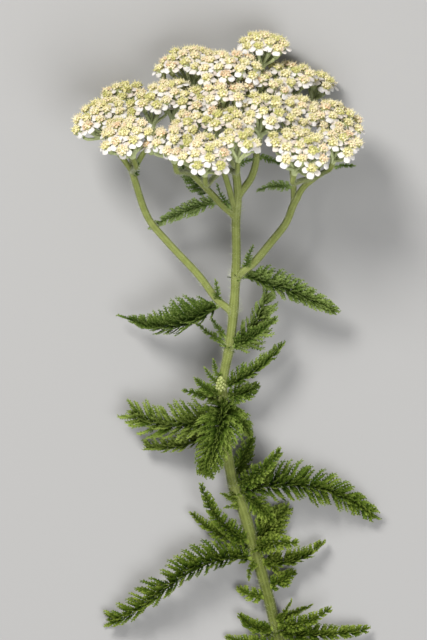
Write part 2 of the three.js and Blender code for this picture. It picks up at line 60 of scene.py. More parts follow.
# The stem and its branches: points of the middle line, first and last radius, and what each grows from.
WOOD = dict(
    stem=(
        [
            (13.6, -3, 1.72), (11.5, 7, 2.2), (9, 17, 2.75), (5.2, 30, 3.7), (2.3, 40, 4.7), (-0.1, 46, 5.3),
            (-1.7, 53, 6.1), (-3, 66, 7.8), (-3.5, 76, 9.2), (-1.5, 87, 11), (-0.3, 98, 13), (0.4, 111, 15.6),
            (0.3, 124, 18.5), (0.8, 131.5, 20.6), (0, 138, 22.8),
        ],
        (1.65, 1.2), None,
    ),
    left=(
        [
            (-1.4, 96.8, 13), (-5, 100, 13.6), (-10.3, 107, 14.6), (-18.9, 116.2, 15.8), (-24.8, 123.4, 16.6),
            (-28.4, 133.4, 17.6), (-29.4, 136.8, 18.4),
        ],
        (1.15, 1.0), "stem",
    ),
    right=(
        [
            (0.8, 106.5, 15), (5.7, 111, 15.4), (10.2, 116.4, 16), (14.7, 122.2, 16.8), (16.6, 127, 17.6),
            (18, 129.6, 18.2),
        ],
        (1.25, 1.05), "stem",
    ),
    leftInner=(
        [(0.2, 123.4, 18.6), (-3.8, 127.3, 19.7), (-7.7, 131.4, 20.8), (-12.6, 136.2, 21.8)],
        (1.2, 0.85), "stem",
    ),
    frontStalk=([(-0.2, 126, 19.6), (-2, 132.9, 22.4), (-3.4, 137.3, 25)], (1.0, 0.8), "stem"),
    rightInner=(
        [(1, 129.6, 20.2), (4.6, 134.9, 20.8), (6, 139.4, 21.4), (6.2, 142, 21.8)], (1.15, 1.0), "stem",
    ),
    rightTip=([(17.5, 128.6, 18), (19.6, 132.3, 19.6), (22.9, 135, 21)], (1.0, 0.85), "right"),
    rightFork=([(16.7, 127.4, 17.7), (16.8, 132.3, 17.2), (16.4, 137, 17.2)], (0.95, 0.85), "right"),
)
# Where leaves leave the stem it's a little thicker, and along one stretch of its lower half too: by how much,
# and for how far.
LEAF_HEIGHTS = (5, 28, 46, 71, 86.5, 97.5, 107.5, 126)
SWELLINGS = [*((height, 0.12, 2.6) for height in LEAF_HEIGHTS), (33, 0.15, 14)]
# Heights up the stem, and how light it is there, then the same for all other wood. The wood is darker towards
# the cut end. Near the top, and on the branches and spray stalks, it is painted lighter, as painted light
# where the flower head's shade falls.
STEM_TONES = [(15, 0), (38, 0.2), (60, 0.4), (88, 0.5), (123, 0.5), (127, 0.95), (131, 0.6)]
BRANCH_TONES = [(0, 0.6)]
STEM_SKIN = Record(sides=40, ribs=10, rib=0.013, ring=1.4)
RIND = Record(thickness=0.16, hollow=0.5, depth=0.002)  # at the cut end, round the pith
BRANCH_SKIN = Record(sides=20, ribs=5, rib=0.025, ring=1.2)
STALK_SKIN = Record(sides=12, ribs=3, rib=0.03, ring=1.2)
# A branch starts inside what it grows from, this far back along it, and this much thinner there.
BRANCH_ROOT = Record(back=3.5, thinner=0.45, reach=1.6)
SPRAY_STALK = Record(radii=(0.85, 0.75), rise=0.15)

# Leaves by name: where the rib starts, the point or two it bends towards, its tip, then the longest leaflets,
# pairs of them, how far they lift, and how far the blade rolls about its rib at its foot and its tip. A row
# may stop before the last three.
Leaf = namedtuple("Leaf", "start through tip longest pairs lift foot_roll tip_roll", defaults=(0.3, 0, 0))
LEAVES = dict(
    foot_right=[(12.4, 4.2, 2.7), (25, 2.8, 6), (37.8, 5.4, 2.6), 5.4, 14, 0.55, -0.5, -0.2],
    foot_right_upper=[(12.6, 6.4, 3.6), (21, 6.4, 8.6), (27, 11.2, 8), 4.2, 9, 0.5, -0.35, -0.1],
    foot_right_narrow=[(12.2, 7.2, 2.8), (17.2, 10.2, 4), (21.6, 12, 2.9), 2.4, 9, 0.9, -0.3],
    foot_up=[(12.2, 7.8, 3.6), (14.4, 10.2, 6), (16, 13.2, 6.4), 2.0, 8, 0.9],
    foot_left=[(12, 5.8, 2.8), (5.6, 4, 5), (1.6, 9.2, 3.2), 3.8, 9, 0.5, 0.35, 0.3],
    foot_left_low=[(12.8, 1.6, 2.6), (5.4, 0.8, 4.6), (-2, 3, 1.6), 3.6, 8, 0.3, 0.3],
    foot_right_low=[(13, 0.8, 2.6), (20.6, 1.4, 4.2), (29, -1.6, 1.6), 3.8, 8, 0.3, -0.2],
    low_left_long=[
        (6.4, 25.4, 3.8), [(-13.4, 29.6, 8), (-21.4, 11.4, 8.4)], (-35.6, 7.2, 1.4), 9.6, 17, 0.75, 0.6, 0.5,
    ],
    low_left_up=[(5.2, 30, 4.4), (-5.8, 34.2, 8), (-9.6, 46.4, 8.4), 5.0, 10, 0.55, 0.3, 0.3],
    low_left_side=[(4.8, 30.4, 3.5), (-6.5, 31.8, 1.6), (-12.2, 38.4, 3), 4.6, 9, 0.55, 0.45, 0.3],
    low_right=[(6.4, 26, 3.8), (16.4, 21.6, 5), (25.2, 30, 2.8), 5.4, 11, 0.7, -0.6, -0.6],
    low_right_short=[(9.4, 17.2, 2.9), (13, 19, 4.4), (16.8, 21.6, 2.6), 4.2, 6, 0.3, -0.2],
    low_left_short=[(9.4, 14.6, 2.8), (5, 14.4, 3.8), (1.4, 17, 2.2), 3.8, 4],
    low_right_back=[(5.4, 30.4, 3.4), (9.5, 34, 1.2), (14.6, 40, 1.4), 6.8, 10, 0.1],
    low_right_front=[(6.2, 28.6, 4.4), (10.6, 30.8, 10), (17.2, 30.4, 9.6), 4.6, 8, 0.4],
    mid_right_long=[(1.2, 45.2, 5.2), (24.4, 51, 8), (39.6, 38.2, 2.4), 10.2, 19, 0.5, -0.65, 0.1],
    mid_right_up=[(0.6, 47, 5.8), (8, 50.2, 12.6), (12.6, 56.6, 12), 4.8, 9, 0.35],
    mid_right_inner=[(-0.2, 48.4, 5.4), (2, 54, 3.4), (4.8, 60.4, 3.2), 4.4, 8, 0.2, 0.2, 0.2],
    mid_right_low=[(1.8, 43.4, 4.8), (6.4, 42.4, 5.4), (10.8, 36.6, 3.8), 5, 7],
    whorl_right_up=[(-3, 75.4, 9.4), (6, 78, 12.4), (13.8, 87.2, 9.6), 5.0, 12, 0.7, -0.6, -0.5],
    whorl_right_side=[(-3.2, 72.6, 8.8), (2.5, 72.8, 8.6), (6.2, 75.4, 7.6), 4.4, 7],
    whorl_left_up=[(-3.4, 72.6, 9), (-8, 73.6, 11.4), (-11, 77.2, 11), 2.9, 6, 0.3, 0.2],
    whorl_left_side=[(-3.4, 71, 8.6), (-10, 72.8, 9.8), (-14.2, 74, 9), 2.8, 7, 0.3, 0.2],
    whorl_front=[(-3.2, 71, 9), (-3.6, 64, 25), (-8.2, 50.8, 11.6), 9.8, 18, 0.25],
    whorl_left_wide=[(-3.2, 68, 8.2), (-17, 60.4, 8.4), (-28.6, 67, 3.4), 9.4, 12, 0.65, 0.6],
    whorl_left_low=[(-2.6, 63.6, 7.2), (-13, 57, 6.4), (-24.6, 57.2, 2.6), 5.6, 10, 0.75, 0.65, 0.6],
    whorl_right_low=[(-2.9, 68.6, 8.2), (1.2, 67.4, 8.4), (4.2, 61.4, 6), 4.2, 9, 0.25],
    upper_right_fan=[(-1.7, 86.2, 11), (6.8, 90.8, 10), (9, 101.6, 9), 8.8, 11, 0.4, 0.6, 0.6],
    upper_right_side=[(-1.9, 86, 10.9), (4.6, 89.2, 14.6), (11.6, 94.6, 15), 4, 8, 0.6, -0.5, -0.3],
    upper_left_low=[(-1.8, 87.2, 11), (-6.5, 89.5, 9.8), (-10.6, 93, 8.8), 2.0, 8, 0.3, 0.2],
    upper_left_high=[(-1.7, 88.4, 11.2), (-4.6, 91, 12.4), (-6.3, 94.3, 12.6), 1.8, 6, 0.3, 0.2],
    branch_left=[(-3.4, 99.6, 13), (-17.2, 87.8, 13.6), (-31, 94.8, 6.4), 11, 16, 0.65, 0.8, 0.6],
    branch_right=[(2, 107.2, 14.8), (16, 103.2, 16.4), (28.6, 97, 9.6), 6.8, 17, 0.55, -0.8, -0.1],
    top_left=[(-4.4, 128.2, 19.8), (-13, 127, 16), (-24.2, 121, 13), 4.0, 11, 0.35, 0.3],
    top_left_back=[(-6.6, 130.4, 20.2), (-10.5, 133, 15.6), (-15.7, 139.3, 15.4), 5.4, 8],
    top_right=[(16.8, 132.2, 17.4), (11.5, 133.6, 18.2), (7, 131.6, 15.8), 2.4, 7, 0.25],
)
# Small bracts that grow from the stem and its branches, in the same terms as the leaves.
BRACTS = [
    [(3.2, 108.4, 15.4), (3.4, 111.8, 17.4), (4.9, 114.8, 17.6), 2.0, 4],
    [(-4.8, 99.6, 13.8), (-5, 102.4, 16), (-5.4, 105, 16.4), 2.0, 4],
    [(-3.9, 75.4, 9.6), (-6.6, 77, 11.4), (-8.2, 80, 11.6), 1.9, 4],
    [(-3.6, 76.6, 10), (-5.6, 79, 11.8), (-6, 82.2, 12.2), 1.8, 4],
    [(-1, 126.4, 20), (-4.4, 129.6, 22.4), (-4.9, 132.4, 23), 1.8, 4],
    [(6.2, 141, 21.8), (9.6, 140.6, 21.4), (12.9, 139, 20.8), 1.9, 5],
    [(0, 137.6, 22.8), (2.4, 139.8, 23.4), (4.6, 140.2, 22.8), 1.8, 4],
    [(-29.3, 136, 18.4), (-27.9, 136.8, 20.4), (-27.7, 139, 21), 1.9, 4],
    [(28.4, 137.8, 20.6), (30.6, 138.8, 20.8), (33.4, 138.4, 20.4), 1.0, 5],
    [(1.8, 41.8, 5.4), (-0.6, 43, 7.2), (-3.2, 44.2, 6.8), 2.0, 6, 0.5],
    [(2, 40.6, 5.4), (0.2, 41, 6.8), (-2.2, 40.6, 6.4), 1.6, 5, 0.5],
    [(6.6, 25, 4), (4.4, 24, 5.6), (4, 20.4, 5), 2.0, 6, 0.5],
    [(8, 24.6, 4), (11, 24, 5), (12.6, 21.4, 4.4), 2.4, 6, 0.5],
]
# Rings of small leaflets where leaves clasp the stem: the height, how many there are, and how long.
RUFFS = [(4.8, 24, 3.6), (28.6, 24, 3.2), (44.4, 20, 3.0), (71.2, 14, 2.6), (86.4, 8, 1.8), (106.8, 8, 1.8)]
# A ring's leaflets: how far they stray along the stem, where they start, as a share of its radius, and how
# much they aim outward, round it and along it.
RUFF = Record(stray=0.5, root=0.8, outward=0.7, round=1.2, along=0.5)
BLADE = Record(
    foot_narrowing=0.55,  # how much shorter the first leaflets are, and how soon they grow
    foot_power=9,
    tip_narrowing=0.64,
    tip_power=1.3,
    lean=(0.32, 0.5, 3),  # how far leaflets lean forward at the foot, how much more at the tip, and how late
    gap=0.25,  # how far out of the wood a rib is clear of it
    sink=0.6,  # and how far before that it starts
    last=0.97,  # the last leaflets' place along the rib
    end=0.36,  # the length of the one at the rib's end, as a share of the longest, and its place
    end_at=0.985,
)
LEAFLETS = {8.0: 8, 5.6: 6, 3.8: 5, 2.4: 3}  # pairs of lobes on a leaflet, by its length
LEAFLET = Record(
    lobe=(0.075, 0.05),  # the length of the first and the last lobes, as shares of the leaflet's
    least=0.4,  # and what each has besides
    lobe_width=(0.19, 0.01),  # half of it, and what each millimetre of the leaflet adds
    thin=0.6,  # a lobe's thickness as a share of its width
    middle=(0.38, 0.16),  # half the width and half the thickness of the leaflet's own middle
    span=0.88,  # how far along the leaflet there are lobes
    stagger=0.25,  # how far on are the lobes of one side and how far back those of the other, in steps
    root=0.6,  # how far out of the middle line a lobe starts, as a share of the middle's half width
    angle=0.42,  # how far lobes stand off the leaflet's middle
    curl=0.16,  # how far the leaflet's tip bends forward, as a share of its length
    turn=0.35,  # how far leaflets turn about their own middles, at most
)
# Leaflets grow in layers: how much further each lifts, its size, and its step along the rib, as a share
# of the way to the next leaflet.
LAYERS = [
    (0, 1, 0), (-0.12, 0.82, 0.5), (0.3, 0.7, 0.25), (0.65, 0.6, 0.75), (1.0, 0.5, 0.4), (1.35, 0.42, 0.1),
]
RACHIS = Record(
    sides=8,
    ring=1.0,
    radii=(0.4, 0.12),
    slim=0.45,  # a rib has this share of them, and a full-th more for each millimetre of its leaflets
    full=7,
    wing=1.4,  # how much wider than thick
    flare=0.7,  # how much stouter at the foot, and how far up that is seen
    flare_reach=1.4,
    taper=0.8,  # how soon it gets thinner
    pale=0.25,  # how pale its tip is, and how far the paler foot is seen
    pale_reach=5.0,
)
# How light some leaves are.
LEAF_TONES = dict(
    whorl_front=0.25, whorl_left_wide=0.6, whorl_left_low=0.6, low_left_long=0.2, low_left_short=0.55,
    mid_right_long=0.2, upper_right_fan=0.8, branch_left=0.2, branch_right=0.5, top_right=1.0, top_left=0.9,
)
# Leaves whose leaflets get shorter towards the tip by another share than the rest's.
TIP_NARROWING = dict(
    whorl_left_wide=0.25, whorl_left_low=0.3, low_left_long=0.5, mid_right_long=0.66, branch_left=0.92,
)

# The flat flower head: where its middle is, and how far it is turned up from the stem's own direction.
FLOWER_HEAD = Record(middle=(-2.9, 157.1, 31.6), tilt=math.radians(25), half_width=35, spread=0.35)
# Sprays by name: the middle of the rim, as places across the flower head, back from its middle and above
# its plane, then the spray's radius, how many flowers its rule places, and the branch that carries it.
SPRAYS = dict(
    top=(11.6, 26, 6.2, 6.6, 20, "rightInner"),
    topLeft=(-10, 22.2, 1.8, 9, 22, "leftInner"),
    crown=(0.8, 12.5, 4.2, 9.8, 23, "stem"),
    crownRight=(9.4, 10.5, -0.6, 8.0, 16, "rightInner"),
    rightBack=(19.6, 22.4, -2.4, 7.7, 17, "rightFork"),
    rightEdge=(26.8, 26.6, -5.6, 5.3, 10, "rightFork"),
    rightOuter=(31, 7.2, -8.4, 7.8, 18, "rightTip"),
    rightLow=(33, -7.6, -9.6, 6, 10, "rightTip"),
    rightMiddle=(20.8, 4.5, -6.4, 8.6, 18, "rightFork"),
    rightFront=(21.6, -16.5, -8, 9, 20, "rightTip"),
    middleRight=(10.8, -2.5, -2.4, 8.4, 17, "rightInner"),
    middle=(0.4, 0, 0.6, 8.4, 17, "stem"),
    middleLeft=(-8.8, 4, -2.6, 7.4, 13, "leftInner"),
    leftInner=(-16.2, 9.8, -2.6, 7.6, 16, "leftInner"),
    frontLeft=(-8.2, -9.5, -4.2, 7.0, 12, "frontStalk"),
    frontMiddle=(1.2, -11, -2.8, 7.6, 14, "stem"),
    frontCorner=(-15.4, -15, -6, 6.5, 10, "leftInner"),
    front=(-6.2, -24, -5.8, 7.8, 16, "frontStalk"),
    frontRight=(3.9, -22.5, -3.4, 4.9, 6, "frontStalk"),
    leftBack=(-30, 24, -9.2, 6.8, 12, "left"),
    leftOuter=(-35, 5.8, -7.5, 8.3, 21, "left"),
    leftMiddle=(-22.3, 6, -4.2, 6.2, 9, "left"),
    leftFront=(-28.3, -11.4, -5.8, 7.2, 16, "left"),
)
SPRAY = Record(
    depth=4.4,  # from the point where its stalks part up to the middle of its rim
    depth_share=0.5,  # and how much of its radius a spray adds to that
    dome=0.5,  # how high the middle is above the rim, as a share of the radius
    edge=1.08,  # how far out the outermost flowers are
    rim_lean=0.35,
    face_up=0.15,  # how much more than its rule says a flower faces up
    seat=0.9,  # from the rule's place for a flower down to where its rays are
    apart=2.8,  # flowers of different sprays keep this distance
    uneven=0.35,  # how much higher or lower than its rule says a flower is, at most
    stray=0.16,  # and how far it leans from its rule's direction
)
RAYS = Record(
    counts=(5, 5, 4, 5, 4, 5),
    length=(1.85, 2.1),  # among other flowers, and hanging out over a rim
    width=(2.0, 2.3),
    droop=(0.12, 0.3),
    flat=0.85,  # the share of them that droop about that much, while the others hang further
    root=0.95,  # from the flower's axis to the foot of a ray
    below=0.12,  # from its seat down to there
    thickness=0.07 / 2.4,  # as a share of the length
    teeth=(0.76, 0.95, 0.92, 1.0, 0.92, 0.95, 0.76),  # how far out the end reaches, from side to side
    foot=0.55,  # the width of its foot, as a share of its own, and how much narrower it gets at its end
    narrowing=0.12,
    cupped=0.4,  # how far its sides and its end bend down, and how high the ridges on it are
    bowed=0.1,
    ridge=0.02,
)
DISC = Record(
    radius=1.2,
    height=0.95,
    florets=19,
    long=0.62,  # an open floret, and the radius of its mouth
    mouth=0.4,
    lean=0.95,  # how far the outermost lean out
    span=0.86,  # how far out there are florets, as a share of the radius
    open_from=2,  # the florets before this one, in the middle, are closed
    open_share=0.85,  # and so are some of the others
    closed=0.8,  # the width of a closed one, as a share of an open one's
    curve=0.8,  # how round the disc is, and how far down its florets start, as a share of its height
    sunk=0.35,
)
# A floret whose length and mouth are 1: its foot, its rim, how deep its mouth is, and the style in it, by its
# first and last radius, its length and its middle.
FLORET = Record(foot=0.5, rim=0.32, hollow=0.3, style=(0.22, 0.12, 1.7, (1.15, 0.12, 0)))
CUP = Record(
    depth=3.6,
    sunk=0.1,  # how far its core reaches into the disc
    radius=1.28,
    foot=0.5,
    belly=1.3,  # how long it stays wide below its rim
    root=0.9,  # where its bracts start, as a share of its radius there
    rows=((0.72, 1.25), (0.42, 1.45)),  # how far down each row of bracts starts, and their length
    bracts=6,
    bract=0.55,  # half a bract's width
    thin=0.35,  # its thickness as a share of that
    lean=0.32,
)
# part, leave and arrive say how far flower stalks are spread at the knot, and how late they bend.
PEDICEL = Record(radius=0.46, sides=6, rings=7, part=0.5, leave=0.4, arrive=0.3, sunk=0.3)
BUDS = Record(
    foot=(-4.1, 72, 9.4),
    top=(-4, 78.2, 12.4),
    radius=1.4,
    core=0.8,
    span=(0.35, 0.95),  # where the first and the last buds are, from foot to top
    lean=1.1,
    count=34,
    bud=0.5,
    slim=2.2,  # a bud's length as a share of half its width
)
HAIR = Record(length=(0.5, 1.1), radius=0.032, per_mm2=1.5, lean=0.45, root=0.97)
TUFT = Record(hairs=110, length=(0.9, 1.8), spread=1.1)
PATCHES = (0.3, 0.7)  # the values between which most of a finish's mottle lies
# Material places on a spray, then on the stem.
PETAL_FACE, FLORET_FACE, GREEN_FACE = 0, 1, 2
HAIR_FACE, PITH_FACE = 1, 2

# ---- Lines through space ----


def blend(first, last, share):
    return first + (last - first) * share


def held(share):
    """A share kept between 0 and 1."""
    return min(1, max(0, share))


def unit(vectors):
    """Vectors, one a row, at length 1."""
    return vectors / np.linalg.norm(vectors, axis=-1, keepdims=True)


def smooth_line(points, steps=24):
    """Closely spaced points on a centripetal Catmull-Rom curve through a few points."""
    p = np.array(points, float)
    p = np.vstack([2 * p[0] - p[1], p, 2 * p[-1] - p[-2]])
    gaps = np.linalg.norm(np.diff(p, axis=0), axis=1) ** 0.5
    t = np.linspace(0, 1, steps, endpoint=False)[:, None]
    stretches = []
    for i in range(1, len(p) - 2):
        a, b, c, d = p[i - 1 : i + 3]
        before, here, after = gaps[i - 1 : i + 2]
        leave = here * ((b - a) / before - (c - a) / (before + here) + (c - b) / here)
        arrive = here * ((c - b) / here - (d - b) / (here + after) + (d - c) / after)
        bend = 3 * (c - b) - 2 * leave - arrive
        stretches.append(b + t * leave + t**2 * bend + t**3 * (2 * (b - c) + leave + arrive))
    return np.vstack([*stretches, p[-2:-1]])


def bezier(points, steps):
    """Closely spaced points on the Bezier curve that a few points control."""
    degree = len(points) - 1
    t = np.linspace(0, 1, steps + 1)[:, None]
    shares = [math.comb(degree, k) * (1 - t) ** (degree - k) * t**k for k in range(degree + 1)]
    return sum(share * np.array(point, float) for share, point in zip(shares, points))


class Route:
    """A line that straight shapes are bent along, with the directions along it, to its side and up."""

    def __init__(self, points, up=None, roll=0.0):
        self.points = points
        steps = np.linalg.norm(np.diff(points, axis=0), axis=1)
        self.length = float(steps.sum())
        self.reach = np.concatenate([[0], np.cumsum(steps)])
        along = unit(np.gradient(points, self.reach, axis=0))
        side = self.carried(along) if up is None else unit(np.cross(np.array(up), along))
        side = side * np.cos(roll) + np.cross(along, side) * np.sin(roll)
        self.table = np.hstack([points, along, side, np.cross(along, side)])

    @staticmethod
    def carried(along):
        """Side directions that follow the line without turning about it."""
        side = unit(np.cross(along[0], (0.3, 0.1, 1.0)))
        sides = []
        for direction in along:
            side = unit(side - direction * (side @ direction))
            sides.append(side)
        return np.array(sides)

    def at(self, reach):
        """Places at distances along the line, with their directions. Past its ends it goes straight on."""
        reach = np.asarray(reach, float)
        inside = np.clip(reach, 0, self.length)
        rows = np.stack([np.interp(inside, self.reach, column) for column in self.table.T], axis=-1)
        middle, frames = rows[..., :3], rows[..., 3:].reshape(*reach.shape, 3, 3)
        return middle + (reach - inside)[..., None] * frames[..., 0, :], frames

    def spot(self, reach):
        """One place on the line and its three directions, as vectors."""
        middle, frames = self.at(reach)
        return Vector(middle), *map(Vector, frames)

    def at_height(self, height):
        """How far along the line it comes to a height up the plant."""
        return np.interp(height, self.points[:, 1], self.reach)

    def bend(self, points):
        """Where points of a straight shape go: X along the line from its start, Y to its side, Z up."""
        middle, frames = self.at(points[:, 0])
        return middle + points[:, 1:2] * frames[:, 1] + points[:, 2:3] * frames[:, 2]


# ---- Small shapes and what they are gathered into ----


def values(items, name, width):
    """What a mesh holds for each of its points, one a row."""
    flat = np.empty(len(items) * width, np.float32)
    items.foreach_get(name, flat)
    return flat.reshape(-1, width)


class Form:
    """A small closed shape that is copied many times. Each point has a mark, which the material reads:
    how light its copy is, how far it is towards the shape's tip, and how far out its branch it is."""

    def __init__(self, bm, material=None):
        bmesh.ops.recalc_face_normals(bm, faces=bm.faces)
        for edge in bm.edges:
            edge.smooth = edge.calc_face_angle(0) < SHARP
        for face in bm.faces:
            face.smooth = True
            if material is not None:
                face.material_index = material
        self.mesh = bpy.data.meshes.new("form")
        bm.to_mesh(self.mesh)
        bm.free()
        self.points = values(self.mesh.vertices, "co", 3)
        if "mark" in self.mesh.attributes:
            self.marks = values(self.mesh.attributes["mark"].data, "color", 4)
        else:
            self.mesh.attributes.new("mark", "FLOAT_COLOR", "POINT")
            self.marks = np.zeros((len(self.points), 4), np.float32)
            self.marks[:, 1] = np.clip(self.points[:, 0], 0, 1)


class Bunch:
    """A growing mesh that copies of forms are added to."""

    def __init__(self):
        self.bm = bmesh.new()

    def add(self, form, points, light=None, out=None):
        """Adds a copy of a form with its points at these places, and with marks of its own."""
        marks = form.marks.copy()
        if light is not None:
            marks[:, 0] = light
        if out is not None:
            marks[:, 2] = out
        form.mesh.vertices.foreach_set("co", np.ascontiguousarray(points, np.float32).ravel())
        form.mesh.attributes["mark"].data.foreach_set("color", marks.ravel())
        self.bm.from_mesh(form.mesh)

    def put(self, form, matrix, light=None, out=None):
        """Adds a copy of a form where a matrix puts it."""
        self.add(form, moved(form.points, matrix), light, out)


def moved(points, matrix):
    """Points turned, scaled and shifted by a 4 by 4 matrix."""
    m = np.array(matrix)
    return points @ m[:3, :3].T + m[:3, 3]


def turn(angle, axis):
    return Matrix.Rotation(angle, 4, axis)


def shift(*offset):
    return Matrix.Translation(Vector(offset))


def stretch(x, y, z):
    return Matrix.Diagonal((x, y, z, 1))


def leaning(angle):
    """The turn that stands a shape that lies along X up along Z, but for an angle."""
    return turn(angle - math.pi / 2, "Y")


LAY = turn(math.pi / 2, "Y")  # lays a shape that stands along Z along X
RAISE = leaning(0)


def standing(place, x, z):
    """The matrix that stands a shape at a place, its Z along z and its X as near to x as that allows."""
    z = z.normalized()
    y = z.cross(x).normalized()
    matrix = Matrix((y.cross(z), y, z)).transposed().to_4x4()
    matrix.translation = place
    return matrix


def pressed(points):
    """Points lifted where they would sink into the floor, without meeting there."""
    height = points[:, 2] - ORIGIN.z
    low = height < FLOOR_EASE
    height[low] = FLOOR_EASE * np.exp(height[low] / FLOOR_EASE - 1)
    points[:, 2] = height + ORIGIN.z
    return points


def linked(name, data):
    """An object of a mesh, a lamp or a camera, in the scene."""
    obj = bpy.data.objects.new(name, data)
    bpy.context.scene.collection.objects.link(obj)
    return obj


def finish_piece(name, bunch, finishes, node):
    """Makes a bunch a piece of the scene, in metres in the frame, in place of its solid."""
    mesh = bpy.data.meshes.new(name)
    bunch.bm.to_mesh(mesh)
    bunch.bm.free()
    points = pressed(values(mesh.vertices, "co", 3))
    mesh.vertices.foreach_set("co", points.ravel())
    mesh.transform(Matrix.Scale(MM, 4) @ Matrix.Translation(-ORIGIN))
    for finish in finishes:
        mesh.materials.append(FINISHES[finish])
    obj = linked(name, mesh)
    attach(obj, "root")
    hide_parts(node)


# ---- Forms ----


def spindle(rings, profile, material=None, sides=4):
    """A slim form from X = 0 to its point at X = 1, as wide and thick as 1 where it's widest."""
    bm = bmesh.new()
    bmesh.ops.create_uvsphere(bm, u_segments=sides, v_segments=rings + 1, radius=1, matrix=LAY)
    for vert in bm.verts:
        x = (vert.co.x + 1) / 2
        if 1e-4 < x < 1 - 1e-4:
            scale = profile(x) / math.sqrt(1 - vert.co.x**2)
            vert.co.y *= scale
            vert.co.z *= scale
        vert.co.x = x
    return Form(bm, material)


def add_cone(bm, sides, first, last, length=1, middle=(0.5, 0, 0)):
    """Adds a closed straight form along X, by its first and last radius."""
    matrix = shift(*middle) @ LAY
    bmesh.ops.create_cone(
        bm, cap_ends=True, segments=sides, radius1=first, radius2=last, depth=length, matrix=matrix
    )


def rod(sides, rings, material=0, cut=None):
    """A straight closed rod of radius 1 from X = 0 to 1, in rings. cut is its first end's own material."""
    bm = bmesh.new()
    add_cone(bm, sides, 1, 1)
    long_edges = [e for e in bm.edges if abs(e.verts[0].co.x - e.verts[1].co.x) > 0.5]
    bmesh.ops.subdivide_edges(bm, edges=long_edges, cuts=rings - 1, use_grid_fill=True)
    for face in bm.faces:
        face.material_index = material
    if cut is not None:
        end = min(bm.faces, key=lambda face: face.calc_center_median().x)
        bmesh.ops.inset_region(bm, faces=[end], thickness=RIND.thickness, depth=0)
        end.material_index = cut
        bmesh.ops.inset_region(bm, faces=[end], thickness=RIND.hollow, depth=-RIND.depth)
        bmesh.ops.poke(bm, faces=[end])
    return Form(bm)


def drawn_out(form, route, radius, wing=1.0):
    """Where a rod's points go when it follows a route from end to end, wing times as wide as it's thick."""
    points = form.points.copy()
    points[:, 0] *= route.length
    points[:, 1:] *= radius
    points[:, 1] *= wing
    return route.bend(points)


def hair_form():
    """One hair from X = 0 to its tip at X = 1, of radius 1."""
    bm = bmesh.new()
    add_cone(bm, 3, 1, 0.15)
    return Form(bm, HAIR_FACE)


def ray_form():
    """One broad ray, from its narrow foot at X = 0 to its three-toothed end at X = 1, and 1 wide."""
    across, along = 6, 3
    bm = bmesh.new()
    bmesh.ops.create_grid(bm, x_segments=along, y_segments=across, size=0.5, matrix=shift(0.5, 0, 0))
    for vert in bm.verts:
        x, y = vert.co.x, vert.co.y
        end = RAYS.teeth[round((y + 0.5) * across)]
        width = blend(RAYS.foot, 1, math.sin(math.pi / 2 * min(1, 2 * x))) - RAYS.narrowing * x**4
        vert.co.x = x * (1 + (end - 1) * x)
        vert.co.y = y * width
        ridge = RAYS.ridge * math.cos(across * math.pi * y) * x
        vert.co.z = ridge - RAYS.cupped * (y * width) ** 2 - RAYS.bowed * x**2
    geom = bm.faces[:] + bm.edges[:] + bm.verts[:]
    bmesh.ops.solidify(bm, geom=geom, thickness=RAYS.thickness)
    return Form(bm, PETAL_FACE)


def floret_form(is_open):
    """One floret of a disc, standing on X = 0: a flared cup with a style in it, or a closed bud."""
    if not is_open:
        return spindle(2, lambda x: 0.85 if x > 0.5 else 0.6, FLORET_FACE)
    bm = bmesh.new()
    add_cone(bm, 5, FLORET.foot, 1)
    mouth = max(bm.faces, key=lambda face: face.calc_center_median().x)
    bmesh.ops.inset_region(bm, faces=[mouth], thickness=FLORET.rim, depth=0)
    bmesh.ops.translate(bm, vec=(-FLORET.hollow, 0, 0), verts=mouth.verts)
    add_cone(bm, 3, *FLORET.style)
    return Form(bm, FLORET_FACE)


def ball(rings, material, shaped=lambda point: point):
    """The core that a disc or a cup is built on: a ball, each of its points moved by a rule."""
    bm = bmesh.new()
    bmesh.ops.create_uvsphere(bm, u_segments=8, v_segments=rings, radius=1)
    for vert in bm.verts:
        vert.co = shaped(vert.co)
    core = Form(bm, material)
    core.marks[:, 1] = 0
    return core


def disc_form(rng):
    """The domed disc of one flower, standing on Z = 0: a core with florets all over it."""
    bunch = Bunch()
    size = stretch(DISC.radius, DISC.radius, DISC.height)
    bunch.put(ball(5, FLORET_FACE), size, light=0.2)
    for i in range(DISC.florets):
        reach = math.sqrt((i + 0.4) / DISC.florets)
        lean = DISC.lean * reach + rng.uniform(-0.1, 0.1)
        spin = i * GOLDEN_ANGLE + rng.uniform(-0.15, 0.15)
        is_open = i >= DISC.open_from and rng.random() < DISC.open_share
        form = FORMS["open" if is_open else "closed"]
        long = DISC.long * rng.uniform(0.85, 1.2)
        wide = DISC.mouth * rng.uniform(0.9, 1.15) * (1 if is_open else DISC.closed)
        rise = DISC.height * (math.sqrt(1 - DISC.curve * reach**2) - DISC.sunk)
        stand = shift(0, 0, rise) @ turn(spin, "Z") @ shift(DISC.span * DISC.radius * reach, 0, 0)
        tilt = leaning(lean) @ turn(rng.uniform(0, 6), "X")
        bunch.put(form, stand @ tilt @ stretch(long, wide, wide), light=rng.random(), out=reach)
    return Form(bunch.bm)


def cup_radius(down):
    """A cup's radius at a share of its depth."""
    return blend(CUP.foot, CUP.radius, math.cos(math.pi / 2 * down**CUP.belly))


def cup_point(point):
    """Where a point of a ball of radius 1 goes on a cup's core."""
    down = (1 - point.z) / 2
    flat = math.hypot(point.x, point.y)
    scale = cup_radius(down) / flat if flat > 1e-3 else 0
    return Vector((point.x * scale, point.y * scale, -down * CUP.depth + CUP.sunk))


